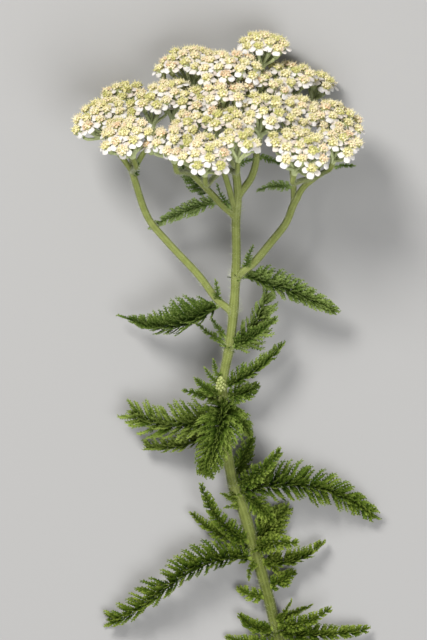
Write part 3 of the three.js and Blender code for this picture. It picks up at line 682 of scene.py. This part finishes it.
def cup_form(rng):
    """The green cup under one flower, hanging from Z = 0: a smooth core with two rows of bracts."""
    bunch = Bunch()
    core = ball(6, GREEN_FACE, cup_point)
    bunch.add(core, core.points, light=0.4)
    for row, (down, long) in enumerate(CUP.rows):
        for i in range(CUP.bracts):
            spin = turn((i + row / 2) * 2 * math.pi / CUP.bracts + rng.uniform(-0.1, 0.1), "Z")
            foot = spin @ shift(CUP.root * cup_radius(down), 0, -down * CUP.depth)
            lie = foot @ leaning(CUP.lean) @ turn(math.pi / 2, "X")
            size = stretch(long, CUP.bract * CUP.thin, CUP.bract)
            bunch.put(FORMS["bract"], lie @ size, light=rng.uniform(0.3, 0.8))
    return Form(bunch.bm)


def leaflet_form(rng, length, pairs, forward):
    """One leaflet from X = 0, with its tip at X = length: a slim middle with narrow lobes close along it,
    which bends towards the leaf's tip, on the side that forward gives."""
    bunch = Bunch()
    half_width, half_thickness = LEAFLET.middle
    least_width, more_width = LEAFLET.lobe_width

    def curl(points):
        points[:, 1] += forward * LEAFLET.curl * points[:, 0] ** 2 / length
        return points

    middle = moved(FORMS["lobe"].points, stretch(length, half_width, half_thickness))
    bunch.add(FORMS["lobe"], curl(middle), out=0.7)
    for i in range(pairs):
        for side in (-1, 1):
            share = (i + 0.5 + LEAFLET.stagger * side * forward + rng.uniform(-0.15, 0.15)) / pairs
            long = length * blend(*LEAFLET.lobe, share) + LEAFLET.least
            long *= rng.uniform(0.85, 1.15)
            wide = (least_width + more_width * length) * rng.uniform(0.85, 1.1)
            angle = side * (LEAFLET.angle + rng.uniform(-0.1, 0.1))
            tilt = turn(rng.uniform(-0.35, 0.15), "Y") @ turn(rng.uniform(-0.4, 0.4), "X")
            foot = shift(LEAFLET.span * share * length, side * LEAFLET.root * half_width, 0)
            place = foot @ turn(angle, "Z") @ tilt @ stretch(long, wide, wide * LEAFLET.thin)
            # out sets how much paler a lobe's tip is than its foot. The dark foot is painted shade between
            # the lobes, and the pale tip is partly the lobe's own and partly painted highlight.
            out = held(0.2 + 0.7 * share + rng.uniform(-0.2, 0.35))
            bunch.add(FORMS["tooth"], curl(moved(FORMS["tooth"].points, place)), out=out)
    return Form(bunch.bm)


# ---- Colours and finishes ----


def mottle_group():
    """The shader group that every finish uses for its uneven colour and fine relief."""
    group = bpy.data.node_groups.new("mottle", "ShaderNodeTree")
    sockets = {"Size": "INPUT", "Relief size": "INPUT", "Patches": "OUTPUT", "Relief": "OUTPUT"}
    for name, way in sockets.items():
        group.interface.new_socket(name, in_out=way, socket_type="NodeSocketFloat")
    nodes, links = group.nodes, group.links
    inputs, outputs = nodes.new("NodeGroupInput"), nodes.new("NodeGroupOutput")
    where = nodes.new("ShaderNodeTexCoord")
    for name, source, detail in (("Patches", "Size", 3), ("Relief", "Relief size", 2)):
        noise = nodes.new("ShaderNodeTexNoise")
        noise.inputs["Detail"].default_value = detail
        links.new(where.outputs["Object"], noise.inputs["Vector"])
        links.new(inputs.outputs[source], noise.inputs["Scale"])
        links.new(noise.outputs["Fac"], outputs.inputs[name])
    return group


class Finish:
    """A material in the making: its shader, and the nodes that feed it."""

    def __init__(self, name, roughness, patch_size, relief_size, relief):
        self.material = bpy.data.materials.new(name)
        self.material.use_nodes = True
        self.tree = self.material.node_tree
        mottle = self.node("Group")
        mottle.node_tree = MOTTLE
        self.feed(mottle, {"Size": 1 / (patch_size * MM), "Relief size": 1 / (relief_size * MM)})
        self.patches, height = mottle.outputs
        bump = self.node("Bump", {"Strength": relief, "Distance": relief_size * MM, "Height": height})
        marks = self.node("Attribute")
        marks.attribute_name = "mark"
        channels = self.node("SeparateColor", {"Color": marks.outputs["Color"]})
        self.light, self.tip, self.out = channels.outputs
        self.shader = self.tree.nodes["Principled BSDF"]
        rough = self.spread(self.patches, *PATCHES, *roughness)
        self.feed(self.shader, {"Normal": bump.outputs["Normal"], "Roughness": rough})

    def node(self, kind, inputs=None):
        node = self.tree.nodes.new("ShaderNode" + kind)
        self.feed(node, inputs or {})
        return node

    def feed(self, node, inputs):
        """Sets a node's inputs, by name or place, to constants or to other nodes' outputs."""
        for key, value in inputs.items():
            if isinstance(value, bpy.types.NodeSocket):
                self.tree.links.new(value, node.inputs[key])
            else:
                node.inputs[key].default_value = value

    def math(self, operation, a, b):
        node = self.node("Math", {0: a, 1: b})
        node.operation = operation
        node.use_clamp = True
        return node.outputs["Value"]

    def total(self, *parts):
        """The sum of values, each times its weight."""
        first, *others = [self.math("MULTIPLY", value, weight) for value, weight in parts]
        for other in others:
            first = self.math("ADD", first, other)
        return first

    def spread(self, value, low, high, first=0, last=1):
        """A value between low and high, spread from first to last and kept within them."""
        limits = {"From Min": low, "From Max": high, "To Min": first, "To Max": last}
        return self.node("MapRange", {"Value": value, **limits}).outputs["Result"]

    def height(self, low, high):
        """How far up the plant a place is, from 0 at one height to 1 at another."""
        where = self.node("TexCoord").outputs["Object"]
        up = self.node("SeparateXYZ", {"Vector": where}).outputs["Y"]
        return self.spread(up, (low - ORIGIN.y) * MM, (high - ORIGIN.y) * MM)

    def ramp(self, factor, *stops):
        """Colours, each with its place, blended by a factor."""
        node = self.node("ValToRGB", {"Fac": factor})
        elements = node.color_ramp.elements
        while len(elements) < len(stops):
            elements.new(0.5)
        for element, (place, colour) in zip(elements, stops):
            element.position = place
            element.color = (*colour, 1)
        return node.outputs["Color"]

    def mix(self, factor, a, b, way="MIX"):
        node = self.node("Mix")
        node.data_type = "RGBA"
        node.blend_type = way
        self.feed(node, {0: factor, 6: a, 7: b})
        return node.outputs[2]

    def done(self, colour, shine=0.2, sheen=0.0, subsurface=0.0):
        inputs = {
            "Base Color": colour,
            "Specular IOR Level": shine,
            "Sheen Weight": sheen,
            "Sheen Roughness": 0.4,
            "Subsurface Weight": subsurface,
            "Subsurface Radius": (1.0, 0.8, 0.5),
            "Subsurface Scale": 0.6 * MM,
        }
        self.feed(self.shader, inputs)
        return self.material


def leaf_finish():
    """Green that is lighter towards the tips, yellower near the cut end and bluer under the flowers. Each
    lobe is painted darker at its foot, as painted shade between the lobes, and paler at its tip, partly its
    own pale tip and partly painted highlight.
    """
    finish = Finish("leaf_green", (0.5, 0.72), 3.0, 0.25, 0.5)
    # towards_tip runs from each lobe's foot to its tip: the dark foot is painted shade between the lobes, and
    # the pale tip is partly the lobe's own colour and partly painted highlight.
    towards_tip = finish.math("MULTIPLY", finish.tip, finish.out)
    tone_and_painted_shade = finish.total((finish.light, 0.45), (towards_tip, 1))
    colour = finish.ramp(
        finish.total((tone_and_painted_shade, 0.8), (finish.patches, 0.35)),
        (0.12, (0.004, 0.013, 0.003)),
        (0.4, (0.025, 0.053, 0.007)),
        (0.66, (0.072, 0.114, 0.015)),
        (0.95, (0.245, 0.31, 0.075)),
    )
    tint = finish.ramp(
        finish.height(0, 130), (0.2, (1.0, 1.0, 0.68)), (0.6, (0.97, 1.0, 0.95)), (1.0, (0.95, 1.0, 1.4))
    )
    return finish.done(finish.mix(1.0, colour, tint, "MULTIPLY"), shine=0.04)


def stem_finish():
    """Green that is lighter where the stem's mark says so, and lighter on its ribs and darker in the grooves
    between them, as painted light and shade.
    """
    finish = Finish("stem_green", (0.42, 0.62), 2.2, 0.3, 0.35)
    colour = finish.ramp(
        # finish.tip is the rib mark here: the ridges are painted lighter and the grooves darker, as painted
        # light and shade.
        finish.total((finish.light, 0.5), (finish.tip, 0.15), (finish.patches, 0.4)),
        (0.2, (0.085, 0.105, 0.02)),
        (0.5, (0.18, 0.21, 0.055)),
        (0.85, (0.32, 0.36, 0.13)),
    )
    return finish.done(colour, shine=0.08, sheen=0.2)


def hair_finish():
    finish = Finish("down_white", (0.6, 0.8), 1.0, 0.2, 0.1)
    return finish.done(finish.ramp(finish.patches, (0.3, (0.42, 0.46, 0.28)), (0.7, (0.6, 0.63, 0.45))))


def pith_finish():
    finish = Finish("pith_pale", (0.7, 0.9), 0.8, 0.15, 0.8)
    return finish.done(finish.ramp(finish.patches, (0.3, (0.42, 0.47, 0.22)), (0.65, (0.66, 0.68, 0.48))))


def petal_finish():
    """Clean white on rays that hang free, and a duller, warmer white on rays among other flowers, partly a
    random tone and partly painted shade, by the ray's mark, with a warmer foot.
    """
    finish = Finish("petal_white", (0.5, 0.7), 1.2, 0.2, 0.25)
    clean_and_lit = finish.ramp(finish.patches, (0.3, (0.74, 0.71, 0.66)), (0.65, (0.83, 0.81, 0.77)))
    # The duller, warmer white is partly a random tone and partly painted shade among the flowers.
    dull_and_shaded = finish.ramp(finish.patches, (0.3, (0.64, 0.54, 0.44)), (0.65, (0.77, 0.67, 0.57)))
    white = finish.mix(finish.spread(finish.light, 0.3, 0.8), dull_and_shaded, clean_and_lit)
    foot = finish.ramp(finish.light, (0.0, (0.6, 0.6, 0.42)), (1.0, (0.74, 0.66, 0.62)))
    colour = finish.mix(finish.spread(finish.tip, 0, 0.45), foot, white)
    return finish.done(colour, sheen=0.1, subsurface=0.15)


def floret_finish():
    """Deep in the disc an olive green, partly the florets' own tubes and partly painted shade between them,
    then cream, yellow or brown at the mouths, by the floret's mark.
    """
    finish = Finish("floret_cream", (0.55, 0.8), 0.7, 0.15, 0.3)
    mouth = finish.ramp(
        finish.light,
        (0.0, (0.62, 0.61, 0.24)),
        (0.25, (0.8, 0.75, 0.4)),
        (0.6, (0.9, 0.84, 0.6)),
        (0.85, (0.9, 0.77, 0.56)),
        (1.0, (0.78, 0.6, 0.4)),
    )
    # The deep colour at the florets' feet and on the core is partly their own olive and partly painted shade
    # between the florets.
    deep = finish.ramp(finish.patches, (0.3, (0.38, 0.37, 0.12)), (0.7, (0.5, 0.42, 0.2)))
    return finish.done(finish.mix(finish.spread(finish.tip, 0.05, 0.6), deep, mouth), subsurface=0.1)


def cup_finish():
    """Green bracts with a browner rim, in greens painted paler than their own, as painted light where the
    flowers above shade the cups and their stalks.
    """
    finish = Finish("cup_green", (0.5, 0.7), 0.9, 0.2, 0.4)
    shade = finish.total((finish.light, 0.5), (finish.patches, 0.5))
    green = finish.ramp(shade, (0.2, (0.25, 0.3, 0.12)), (0.6, (0.43, 0.49, 0.23)), (0.9, (0.58, 0.62, 0.36)))
    return finish.done(finish.mix(finish.spread(finish.tip, 0.7, 1), green, (0.5, 0.46, 0.24, 1)), sheen=0.04)


def bud_finish():
    finish = Finish("bud_yellow", (0.5, 0.7), 0.8, 0.15, 0.4)
    shade = finish.total((finish.light, 0.5), (finish.tip, 0.5))
    colour = finish.ramp(shade, (0.1, (0.24, 0.3, 0.06)), (0.8, (0.43, 0.47, 0.19)))
    return finish.done(colour, subsurface=0.05)


# ---- Stem ----


class Stalk(Route):
    """A round stalk along a line, thicker at its swellings and, as a branch, thinner where it starts."""

    def __init__(self, points, radii, swellings=(), rooted=False):
        super().__init__(smooth_line(points))
        self.radii = radii
        self.swellings = [(self.at_height(height), more, spread) for height, more, spread in swellings]
        self.rooted = rooted

    def radius(self, reach):
        """The radius at distances along it."""
        radius = blend(*self.radii, reach / self.length)
        for place, more, spread in self.swellings:
            radius = radius * (1 + more * np.exp(-(((reach - place) / spread) ** 2)))
        if self.rooted:
            radius = radius * (1 - BRANCH_ROOT.thinner * np.exp(-reach / BRANCH_ROOT.reach))
        return radius


def grow_wood():
    """The stem and its branches, by name."""
    wood = {}
    for name, (points, radii, grows_from) in WOOD.items():
        if grows_from is None:
            wood[name] = Stalk(points, radii, SWELLINGS)
        else:
            parent = wood[grows_from]
            nearest = np.argmin(np.linalg.norm(parent.points - np.array(points[0]), axis=1))
            root = parent.at(parent.reach[nearest] - BRANCH_ROOT.back)[0]
            wood[name] = Stalk([root, *points], radii, rooted=True)
    return wood


def spray_stalk(spray):
    """The stalk from the end of a spray's branch up to the spray's foot."""
    start = Vector(WOOD[spray.branch][0][-1])
    ease = spray.hub - spray.axis * (spray.hub - start).length * SPRAY_STALK.rise
    return Stalk([start, (start + ease) / 2, ease, spray.hub], SPRAY_STALK.radii)


def add_tube(bunch, stalk, skin, tones=BRANCH_TONES, cut=None):
    """Adds a ribbed stalk. Its marks say how high each point is on its rib, and how light the stalk is."""
    form = rod(skin.sides, max(4, round(stalk.length / skin.ring)), cut=cut)
    ridge = np.cos(skin.ribs * np.arctan2(form.points[:, 2], form.points[:, 1]))
    form.marks[:, 1] = 0.5 + 0.5 * ridge
    radius = stalk.radius(form.points[:, 0] * stalk.length) * (1 + skin.rib * ridge)
    points = drawn_out(form, stalk, radius[:, None])
    bunch.add(form, points, light=np.interp(points[:, 1], *zip(*tones)))


def add_hairs(bunch, stalk, rng, tuft=None):
    """Scatters fine hairs over a stalk, leaning towards its tip, or a tuft of longer ones at one place."""
    count, lengths = TUFT.hairs, TUFT.length
    if tuft is None:
        count = int(HAIR.per_mm2 * 2 * math.pi * stalk.radius(stalk.length / 2) * stalk.length)
        lengths = HAIR.length
    for _ in range(count):
        reach = rng.uniform(0, stalk.length) if tuft is None else max(0.3, rng.gauss(tuft, TUFT.spread))
        angle = rng.uniform(-math.pi, math.pi)
        middle, along, side, up = stalk.spot(reach)
        outward = side * math.cos(angle) + up * math.sin(angle)
        direction = outward + along * HAIR.lean + side * rng.uniform(-0.3, 0.3)
        place = standing(middle + outward * float(stalk.radius(reach)) * HAIR.root, along, direction)
        bunch.put(FORMS["hair"], place @ RAISE @ stretch(rng.uniform(*lengths), HAIR.radius, HAIR.radius))


def make_stem(wood, sprays):
    """The main stem, its branches and the stalks of the sprays, with their down."""
    bunch = Bunch()
    rng = random.Random("stem")
    for name, stalk in wood.items():
        if name == "stem":
            add_tube(bunch, stalk, STEM_SKIN, STEM_TONES, PITH_FACE)
            for height in LEAF_HEIGHTS:
                add_hairs(bunch, stalk, rng, stalk.at_height(height))
        else:
            add_tube(bunch, stalk, BRANCH_SKIN)
        add_hairs(bunch, stalk, rng)
    for spray in sprays:
        stalk = spray_stalk(spray)
        add_tube(bunch, stalk, STALK_SKIN)
        add_hairs(bunch, stalk, rng)
    finish_piece("stem_wood", bunch, ["stem", "hair", "pith"], "stem")


def make_buds():
    """The knot of unopened buds in the angle of a leaf."""
    bunch = Bunch()
    rng = random.Random("buds")
    foot, top = Vector(BUDS.foot), Vector(BUDS.top)
    long = (top - foot).length
    knot = standing(foot, ACROSS, top - foot)
    core_radius = BUDS.radius * BUDS.core
    first, last = BUDS.span
    for i in range(BUDS.count):
        share = (i + 0.5) / BUDS.count
        round_there = core_radius * math.sin(math.pi * (0.25 + 0.7 * share))
        stand = knot @ turn(i * GOLDEN_ANGLE, "Z") @ shift(round_there, 0, blend(first, last, share) * long)
        size = BUDS.bud * rng.uniform(0.85, 1.15)
        lean = leaning(BUDS.lean * (1 - share)) @ shift(-size, 0, 0)
        spot = stand @ lean @ stretch(BUDS.slim * size, size, size)
        bunch.put(FORMS["bud"], spot, light=rng.random())
    bunch.put(FORMS["bud"], knot @ RAISE @ stretch(long, core_radius, core_radius), light=0.0)
    finish_piece("stem_buds", bunch, ["bud"], "stem")


# ---- Leaves ----


def wood_points(wood):
    """Places down the middle of the wood, with its radius there, but for swellings."""
    share = np.linspace(0, 1, 161)
    places = [stalk.at(share * stalk.length)[0] for stalk in wood.values()]
    radii = [blend(*stalk.radii, share) for stalk in wood.values()]
    return np.vstack(places), np.concatenate(radii)


def rib_route(leaf, inside):
    """A leaf's rib, from where it comes out of the wood. Without any, it starts at its first point."""
    bends = leaf.through if isinstance(leaf.through, list) else [leaf.through]
    points = bezier([leaf.start, *bends, leaf.tip], steps=120)
    roll = np.linspace(leaf.foot_roll, leaf.tip_roll, len(points))[:, None]
    if inside is None:
        return Route(points, UP, roll)
    places, radii = inside
    clear = np.linalg.norm(points[:, None] - places[None], axis=2) > radii + BLADE.gap
    first = int(np.argmax(clear.all(axis=1)))
    step = np.linalg.norm(points[1] - points[0])
    first = max(0, first - round(BLADE.sink / step))
    return Route(points[first:], UP, roll[first:])


def leaflet_share(t, narrowing):
    """How long the leaflets are along a rib, as a share of the longest."""
    foot = 1 - BLADE.foot_narrowing * (1 - t) ** BLADE.foot_power
    return foot * (1 - narrowing * t ** BLADE.tip_power)


def pick_leaflet(rng, length, forward):
    """The leaflet form that is made for about this length, and the matrix that brings it to it."""
    made_for = min(LEAFLETS, key=lambda size: abs(math.log(size / length)))
    return rng.choice(FORMS["leaflets"][made_for, forward]), Matrix.Scale(length / made_for, 4)


def add_rib(bunch, route, longest):
    """Adds a leaf's rib, stouter and paler towards its foot."""
    first, last = RACHIS.radii
    rib = rod(RACHIS.sides, max(6, round(route.length / RACHIS.ring)))
    reach = rib.points[:, 0] * route.length
    flare = 1 + RACHIS.flare * np.exp(-np.clip(reach, 0, None) / RACHIS.flare_reach)
    radius = blend(first, last, np.clip(reach / route.length, 0, 1) ** RACHIS.taper)
    radius = min(1.0, RACHIS.slim + longest / RACHIS.full) * flare * radius
    rib.marks[:, 1] = 0.6
    pale = blend(RACHIS.pale, 1, np.exp(-reach / RACHIS.pale_reach))
    bunch.add(rib, drawn_out(rib, route, radius[:, None], RACHIS.wing), light=0.6, out=pale)


def add_frond(bunch, leaf, inside, tone, rng, narrowing=BLADE.tip_narrowing):
    """Adds one feathery leaf: its rib, and leaflets on both sides that turn and lift a little."""
    route = rib_route(leaf, inside)
    add_rib(bunch, route, leaf.longest)
    lean_first, lean_more, lean_late = BLADE.lean
    for i in range(leaf.pairs):
        for side in (-1, 1):
            t = BLADE.last * (i + 0.5 + rng.uniform(-0.25, 0.25)) / leaf.pairs
            length = max(1.0, leaf.longest * leaflet_share(t, narrowing) * rng.uniform(0.88, 1.1))
            for more_lift, size, step in LAYERS:
                lean = lean_first + lean_more * t**lean_late + rng.uniform(-0.1, 0.1)
                form, scale = pick_leaflet(rng, length * size, -side)
                raised = math.atan(leaf.lift) + more_lift + rng.uniform(-0.12, 0.2)
                aim = turn(side * (math.pi / 2 - lean), "Z") @ turn(-raised, "Y")
                twist = turn(rng.uniform(-1, 1) * LEAFLET.turn, "X")
                along = (t + step * BLADE.last / leaf.pairs) * route.length + rng.uniform(-0.2, 0.2)
                place = shift(along, 0, 0) @ aim @ twist @ scale
                light = held(tone + rng.uniform(-0.2, 0.25) + 0.2 * t)
                bunch.add(form, route.bend(moved(form.points, place)), light=light)
    end, scale = pick_leaflet(rng, max(1.4, leaf.longest * BLADE.end), 1)
    tip = moved(end.points, shift(BLADE.end_at * route.length, 0, 0) @ scale)
    bunch.add(end, route.bend(tip), light=min(1, tone + 0.4))


def make_leaves(wood):
    inside = wood_points(wood)
    for name, row in LEAVES.items():
        bunch = Bunch()
        rng = random.Random("leaf " + name)
        tone = LEAF_TONES.get(name, rng.uniform(0.2, 0.5))
        add_frond(bunch, Leaf(*row), inside, tone, rng, TIP_NARROWING.get(name, BLADE.tip_narrowing))
        finish_piece("frond_" + name, bunch, ["leaf"], "leaf_" + name)


def add_ruff(bunch, stem, height, count, longest, rng):
    """Adds leaflets that stand out all round the stem, at a height on it."""
    reach = float(stem.at_height(height))
    radius = sum(stem.radii) / 2
    for i in range(count):
        middle, along, side, up = stem.spot(reach + rng.gauss(0, RUFF.stray))
        spin = (i + rng.random()) * 2 * math.pi / count
        outward = side * math.cos(spin) + up * math.sin(spin)
        round_it = outward.cross(along) * rng.uniform(-RUFF.round, RUFF.round)
        direction = outward * RUFF.outward + round_it + along * rng.uniform(-RUFF.along, RUFF.along)
        form, scale = pick_leaflet(rng, longest * rng.uniform(0.6, 1.2), 1)
        stand = standing(middle + outward * RUFF.root * radius, along, direction)
        twist = turn(rng.uniform(-0.8, 0.8), "X")
        bunch.put(form, stand @ RAISE @ twist @ scale, light=rng.uniform(0.3, 0.8))


def make_bracts(wood):
    """The small bracts on the wood, and the rings of short leaflets round the stem."""
    bunch = Bunch()
    rng = random.Random("bracts")
    for row in BRACTS:
        add_frond(bunch, Leaf(*row), None, 0.5, rng)
    for ruff in RUFFS:
        add_ruff(bunch, wood["stem"], *ruff, rng)
    finish_piece("stem_bracts", bunch, ["leaf"], "stem")


# ---- Flowers ----

OUT = Vector((0, math.cos(FLOWER_HEAD.tilt), math.sin(FLOWER_HEAD.tilt)))
BACK = -ACROSS.cross(OUT)


def lay_spray(name, across, back, above, radius, count, branch):
    """A spray's axis, the point where its stalks part, and its flowers by the golden-angle rule."""
    middle = Vector(FLOWER_HEAD.middle) + ACROSS * across + BACK * back + OUT * above
    splay = FLOWER_HEAD.spread / FLOWER_HEAD.half_width
    axis = (OUT + ACROSS * splay * across + BACK * splay * back).normalized()
    u = axis.cross(BACK).normalized()
    v = axis.cross(u)
    hub = middle - axis * (SPRAY.depth + SPRAY.depth_share * radius)
    flowers = []
    for i in range(count):
        reach = math.sqrt((i + 0.5) / count)
        spin = i * GOLDEN_ANGLE + across
        outward = u * math.cos(spin) + v * math.sin(spin)
        lean = SPRAY.rim_lean * reach
        facing = axis * math.cos(lean) + outward * math.sin(lean) + UP * SPRAY.face_up
        facing.normalize()
        place = middle + outward * SPRAY.edge * radius * reach
        place += axis * SPRAY.dome * radius * (1 - reach**2)
        flowers.append(Record(seat=place - facing * SPRAY.seat, axis=facing, outward=outward, reach=reach))
    return Record(name=name, axis=axis, hub=hub, branch=branch, flowers=flowers)


def thin_out(sprays):
    """Leaves out the outermost flowers that would meet another spray's."""
    pairs = [(flower, spray) for spray in sprays for flower in spray.flowers]
    for spray in sprays:
        spray.flowers = []
    for flower, own in sorted(pairs, key=lambda pair: pair[0].reach):
        others = (other for spray in sprays if spray is not own for other in spray.flowers)
        if all((other.seat - flower.seat).length > SPRAY.apart for other in others):
            own.flowers.append(flower)


def add_rays(bunch, stand, flower, rng):
    """Adds the rays of one flower. Those that hang out over the spray's rim are larger and droop more."""
    count = rng.choice(RAYS.counts)
    turned = rng.uniform(0, 2 * math.pi)
    for i in range(count):
        spin = turned + i * 2 * math.pi / count + rng.uniform(-0.12, 0.12)
        freedom = flower.reach * (0.5 + 0.5 * math.cos(spin))
        length = blend(*RAYS.length, freedom) * rng.uniform(0.88, 1.1)
        width = blend(*RAYS.width, freedom) * rng.uniform(0.9, 1.08)
        droop = blend(*RAYS.droop, freedom)
        droop += rng.uniform(-0.2, 0.2) if rng.random() < RAYS.flat else rng.uniform(0.4, 1.0)
        foot = stand @ turn(spin, "Z") @ shift(RAYS.root, 0, -RAYS.below)
        tilt = turn(droop, "Y") @ turn(rng.uniform(-0.15, 0.15), "X")
        # Rays hanging free over the rim get clean white. Rays among other flowers get a duller, warmer white,
        # partly at random and partly as painted shade.
        clean_and_lit = min(1, rng.random() * 0.8 + 0.7 * max(0, freedom))
        bunch.put(FORMS["ray"], foot @ tilt @ stretch(length, width, length), light=clean_and_lit)


def add_pedicel(bunch, spray, flower):
    """Adds the stalk of one flower, from the spray's knot to the foot of the flower's cup."""
    foot = flower.seat - flower.axis * (CUP.depth - PEDICEL.sunk)
    start = spray.hub + flower.outward * PEDICEL.part * flower.reach
    reach = (foot - start).length
    leave = start + spray.axis * reach * PEDICEL.leave
    arrive = foot - flower.axis * reach * PEDICEL.arrive
    route = Route(bezier([start, leave, arrive, foot], steps=16))
    form = rod(PEDICEL.sides, PEDICEL.rings, GREEN_FACE)
    form.marks[:, 1] = 0.3
    # The flower stalks are marked lighter than the cups, as painted light under the shading flowers.
    bunch.add(form, drawn_out(form, route, PEDICEL.radius), light=0.85)


def make_spray(spray):
    """One spray: its flowers, each a cup, a disc of florets and its rays, on their stalks."""
    rng = random.Random("spray " + spray.name)
    bunch = Bunch()
    spray_tone = rng.uniform(0.3, 0.6)
    for flower in spray.flowers:
        stray = Vector([rng.uniform(-1, 1) for _ in range(3)])
        stand = standing(
            flower.seat + flower.axis * rng.uniform(-1, 1) * SPRAY.uneven,
            flower.outward,
            flower.axis + stray * SPRAY.stray,
        )
        spun = stand @ turn(rng.uniform(0, 6), "Z")
        disc, cup = rng.choice(FORMS["discs"]), rng.choice(FORMS["cups"])
        tone = held(spray_tone + rng.gauss(0, 0.2))
        lights = np.clip(tone + (disc.marks[:, 0] - 0.5) * 0.7, 0, 1)
        bunch.put(disc, spun @ Matrix.Scale(rng.uniform(0.94, 1.1), 4), light=lights)
        bunch.put(cup, spun, light=rng.uniform(0.3, 0.7))
        add_rays(bunch, stand, flower, rng)
        add_pedicel(bunch, spray, flower)
    finish_piece("spray_" + spray.name, bunch, ["petal", "floret", "cup"], "flowers_" + spray.name)


# ---- Floor, light and camera ----

VIEW = Record(middle=(-6.14, 94.29), height=182.86, level=24, distance=3000, sensor=36)
FLOOR = Record(half_width=6.0, colour=(0.34, 0.34, 0.335), roughness=0.85)
LAMPS = [
    Record(name="key", place=(-0.55, 0.75, 1.05), size=0.55, watts=20, colour=(1.0, 0.98, 0.96)),
    Record(name="fill", place=(0.35, -0.5, 1.1), size=0.9, watts=13, colour=(0.98, 0.98, 1.0)),
]
LAMP_AIM = Vector((0, 0.03, 0.02))
WORLD = Record(colour=(0.79, 0.77, 0.75), strength=0.35)


def make_floor():
    bm = bmesh.new()
    bmesh.ops.create_grid(bm, x_segments=1, y_segments=1, size=FLOOR.half_width)
    mesh = bpy.data.meshes.new("floor")
    bm.to_mesh(mesh)
    bm.free()
    material = bpy.data.materials.new("floor_pale")
    material.use_nodes = True
    shader = material.node_tree.nodes["Principled BSDF"]
    shader.inputs["Base Color"].default_value = (*FLOOR.colour, 1)
    shader.inputs["Roughness"].default_value = FLOOR.roughness
    mesh.materials.append(material)
    linked("floor", mesh)


def make_lamps():
    for lamp in LAMPS:
        data = bpy.data.lights.new(lamp.name, "AREA")
        data.shape = "DISK"
        data.size = lamp.size
        data.energy = lamp.watts
        data.color = lamp.colour
        obj = linked(lamp.name, data)
        obj.location = lamp.place
        obj.rotation_euler = (LAMP_AIM - obj.location).to_track_quat("-Z", "Y").to_euler()


def make_world():
    world = bpy.data.worlds.new("studio")
    world.use_nodes = True
    background = world.node_tree.nodes["Background"]
    background.inputs["Color"].default_value = (*WORLD.colour, 1)
    background.inputs["Strength"].default_value = WORLD.strength
    bpy.context.scene.world = world


def make_camera():
    """Looks straight down from far off, so that the stem runs up the picture."""
    data = bpy.data.cameras.new("camera")
    data.sensor_width = VIEW.sensor
    data.lens = VIEW.sensor * VIEW.distance / VIEW.height
    data.clip_end = 100
    camera = linked("camera", data)
    x, y = VIEW.middle
    camera.location = (Vector((x, y, VIEW.level + VIEW.distance)) - ORIGIN) * MM
    bpy.context.scene.camera = camera


# ---- The scene ----

make_camera()
make_lamps()
make_world()
make_floor()
bpy.context.scene.view_settings.view_transform = "Standard"

MOTTLE = mottle_group()
FINISHES = dict(
    leaf=leaf_finish(),
    stem=stem_finish(),
    hair=hair_finish(),
    pith=pith_finish(),
    petal=petal_finish(),
    floret=floret_finish(),
    cup=cup_finish(),
    bud=bud_finish(),
)

FORMS = dict(
    lobe=spindle(2, lambda x: 0.95 if x < 0.5 else 0.8),
    tooth=spindle(1, lambda x: 1.0, sides=3),
    bract=spindle(2, lambda x: 1.0, GREEN_FACE),
    bud=spindle(3, lambda x: math.sin(math.pi * x) ** 0.6),
    hair=hair_form(),
    ray=ray_form(),
    open=floret_form(True),
    closed=floret_form(False),
)
forms_rng = random.Random("forms")
FORMS["discs"] = [disc_form(forms_rng) for _ in range(4)]
FORMS["cups"] = [cup_form(forms_rng) for _ in range(3)]
FORMS["leaflets"] = {
    (length, forward): [leaflet_form(forms_rng, length, pairs, forward) for _ in range(3)]
    for length, pairs in LEAFLETS.items()
    for forward in (-1, 1)
}

wood = grow_wood()
sprays = [lay_spray(name, *row) for name, row in SPRAYS.items()]
thin_out(sprays)
make_stem(wood, sprays)
make_buds()
make_leaves(wood)
make_bracts(wood)
for spray in sprays:
    make_spray(spray)
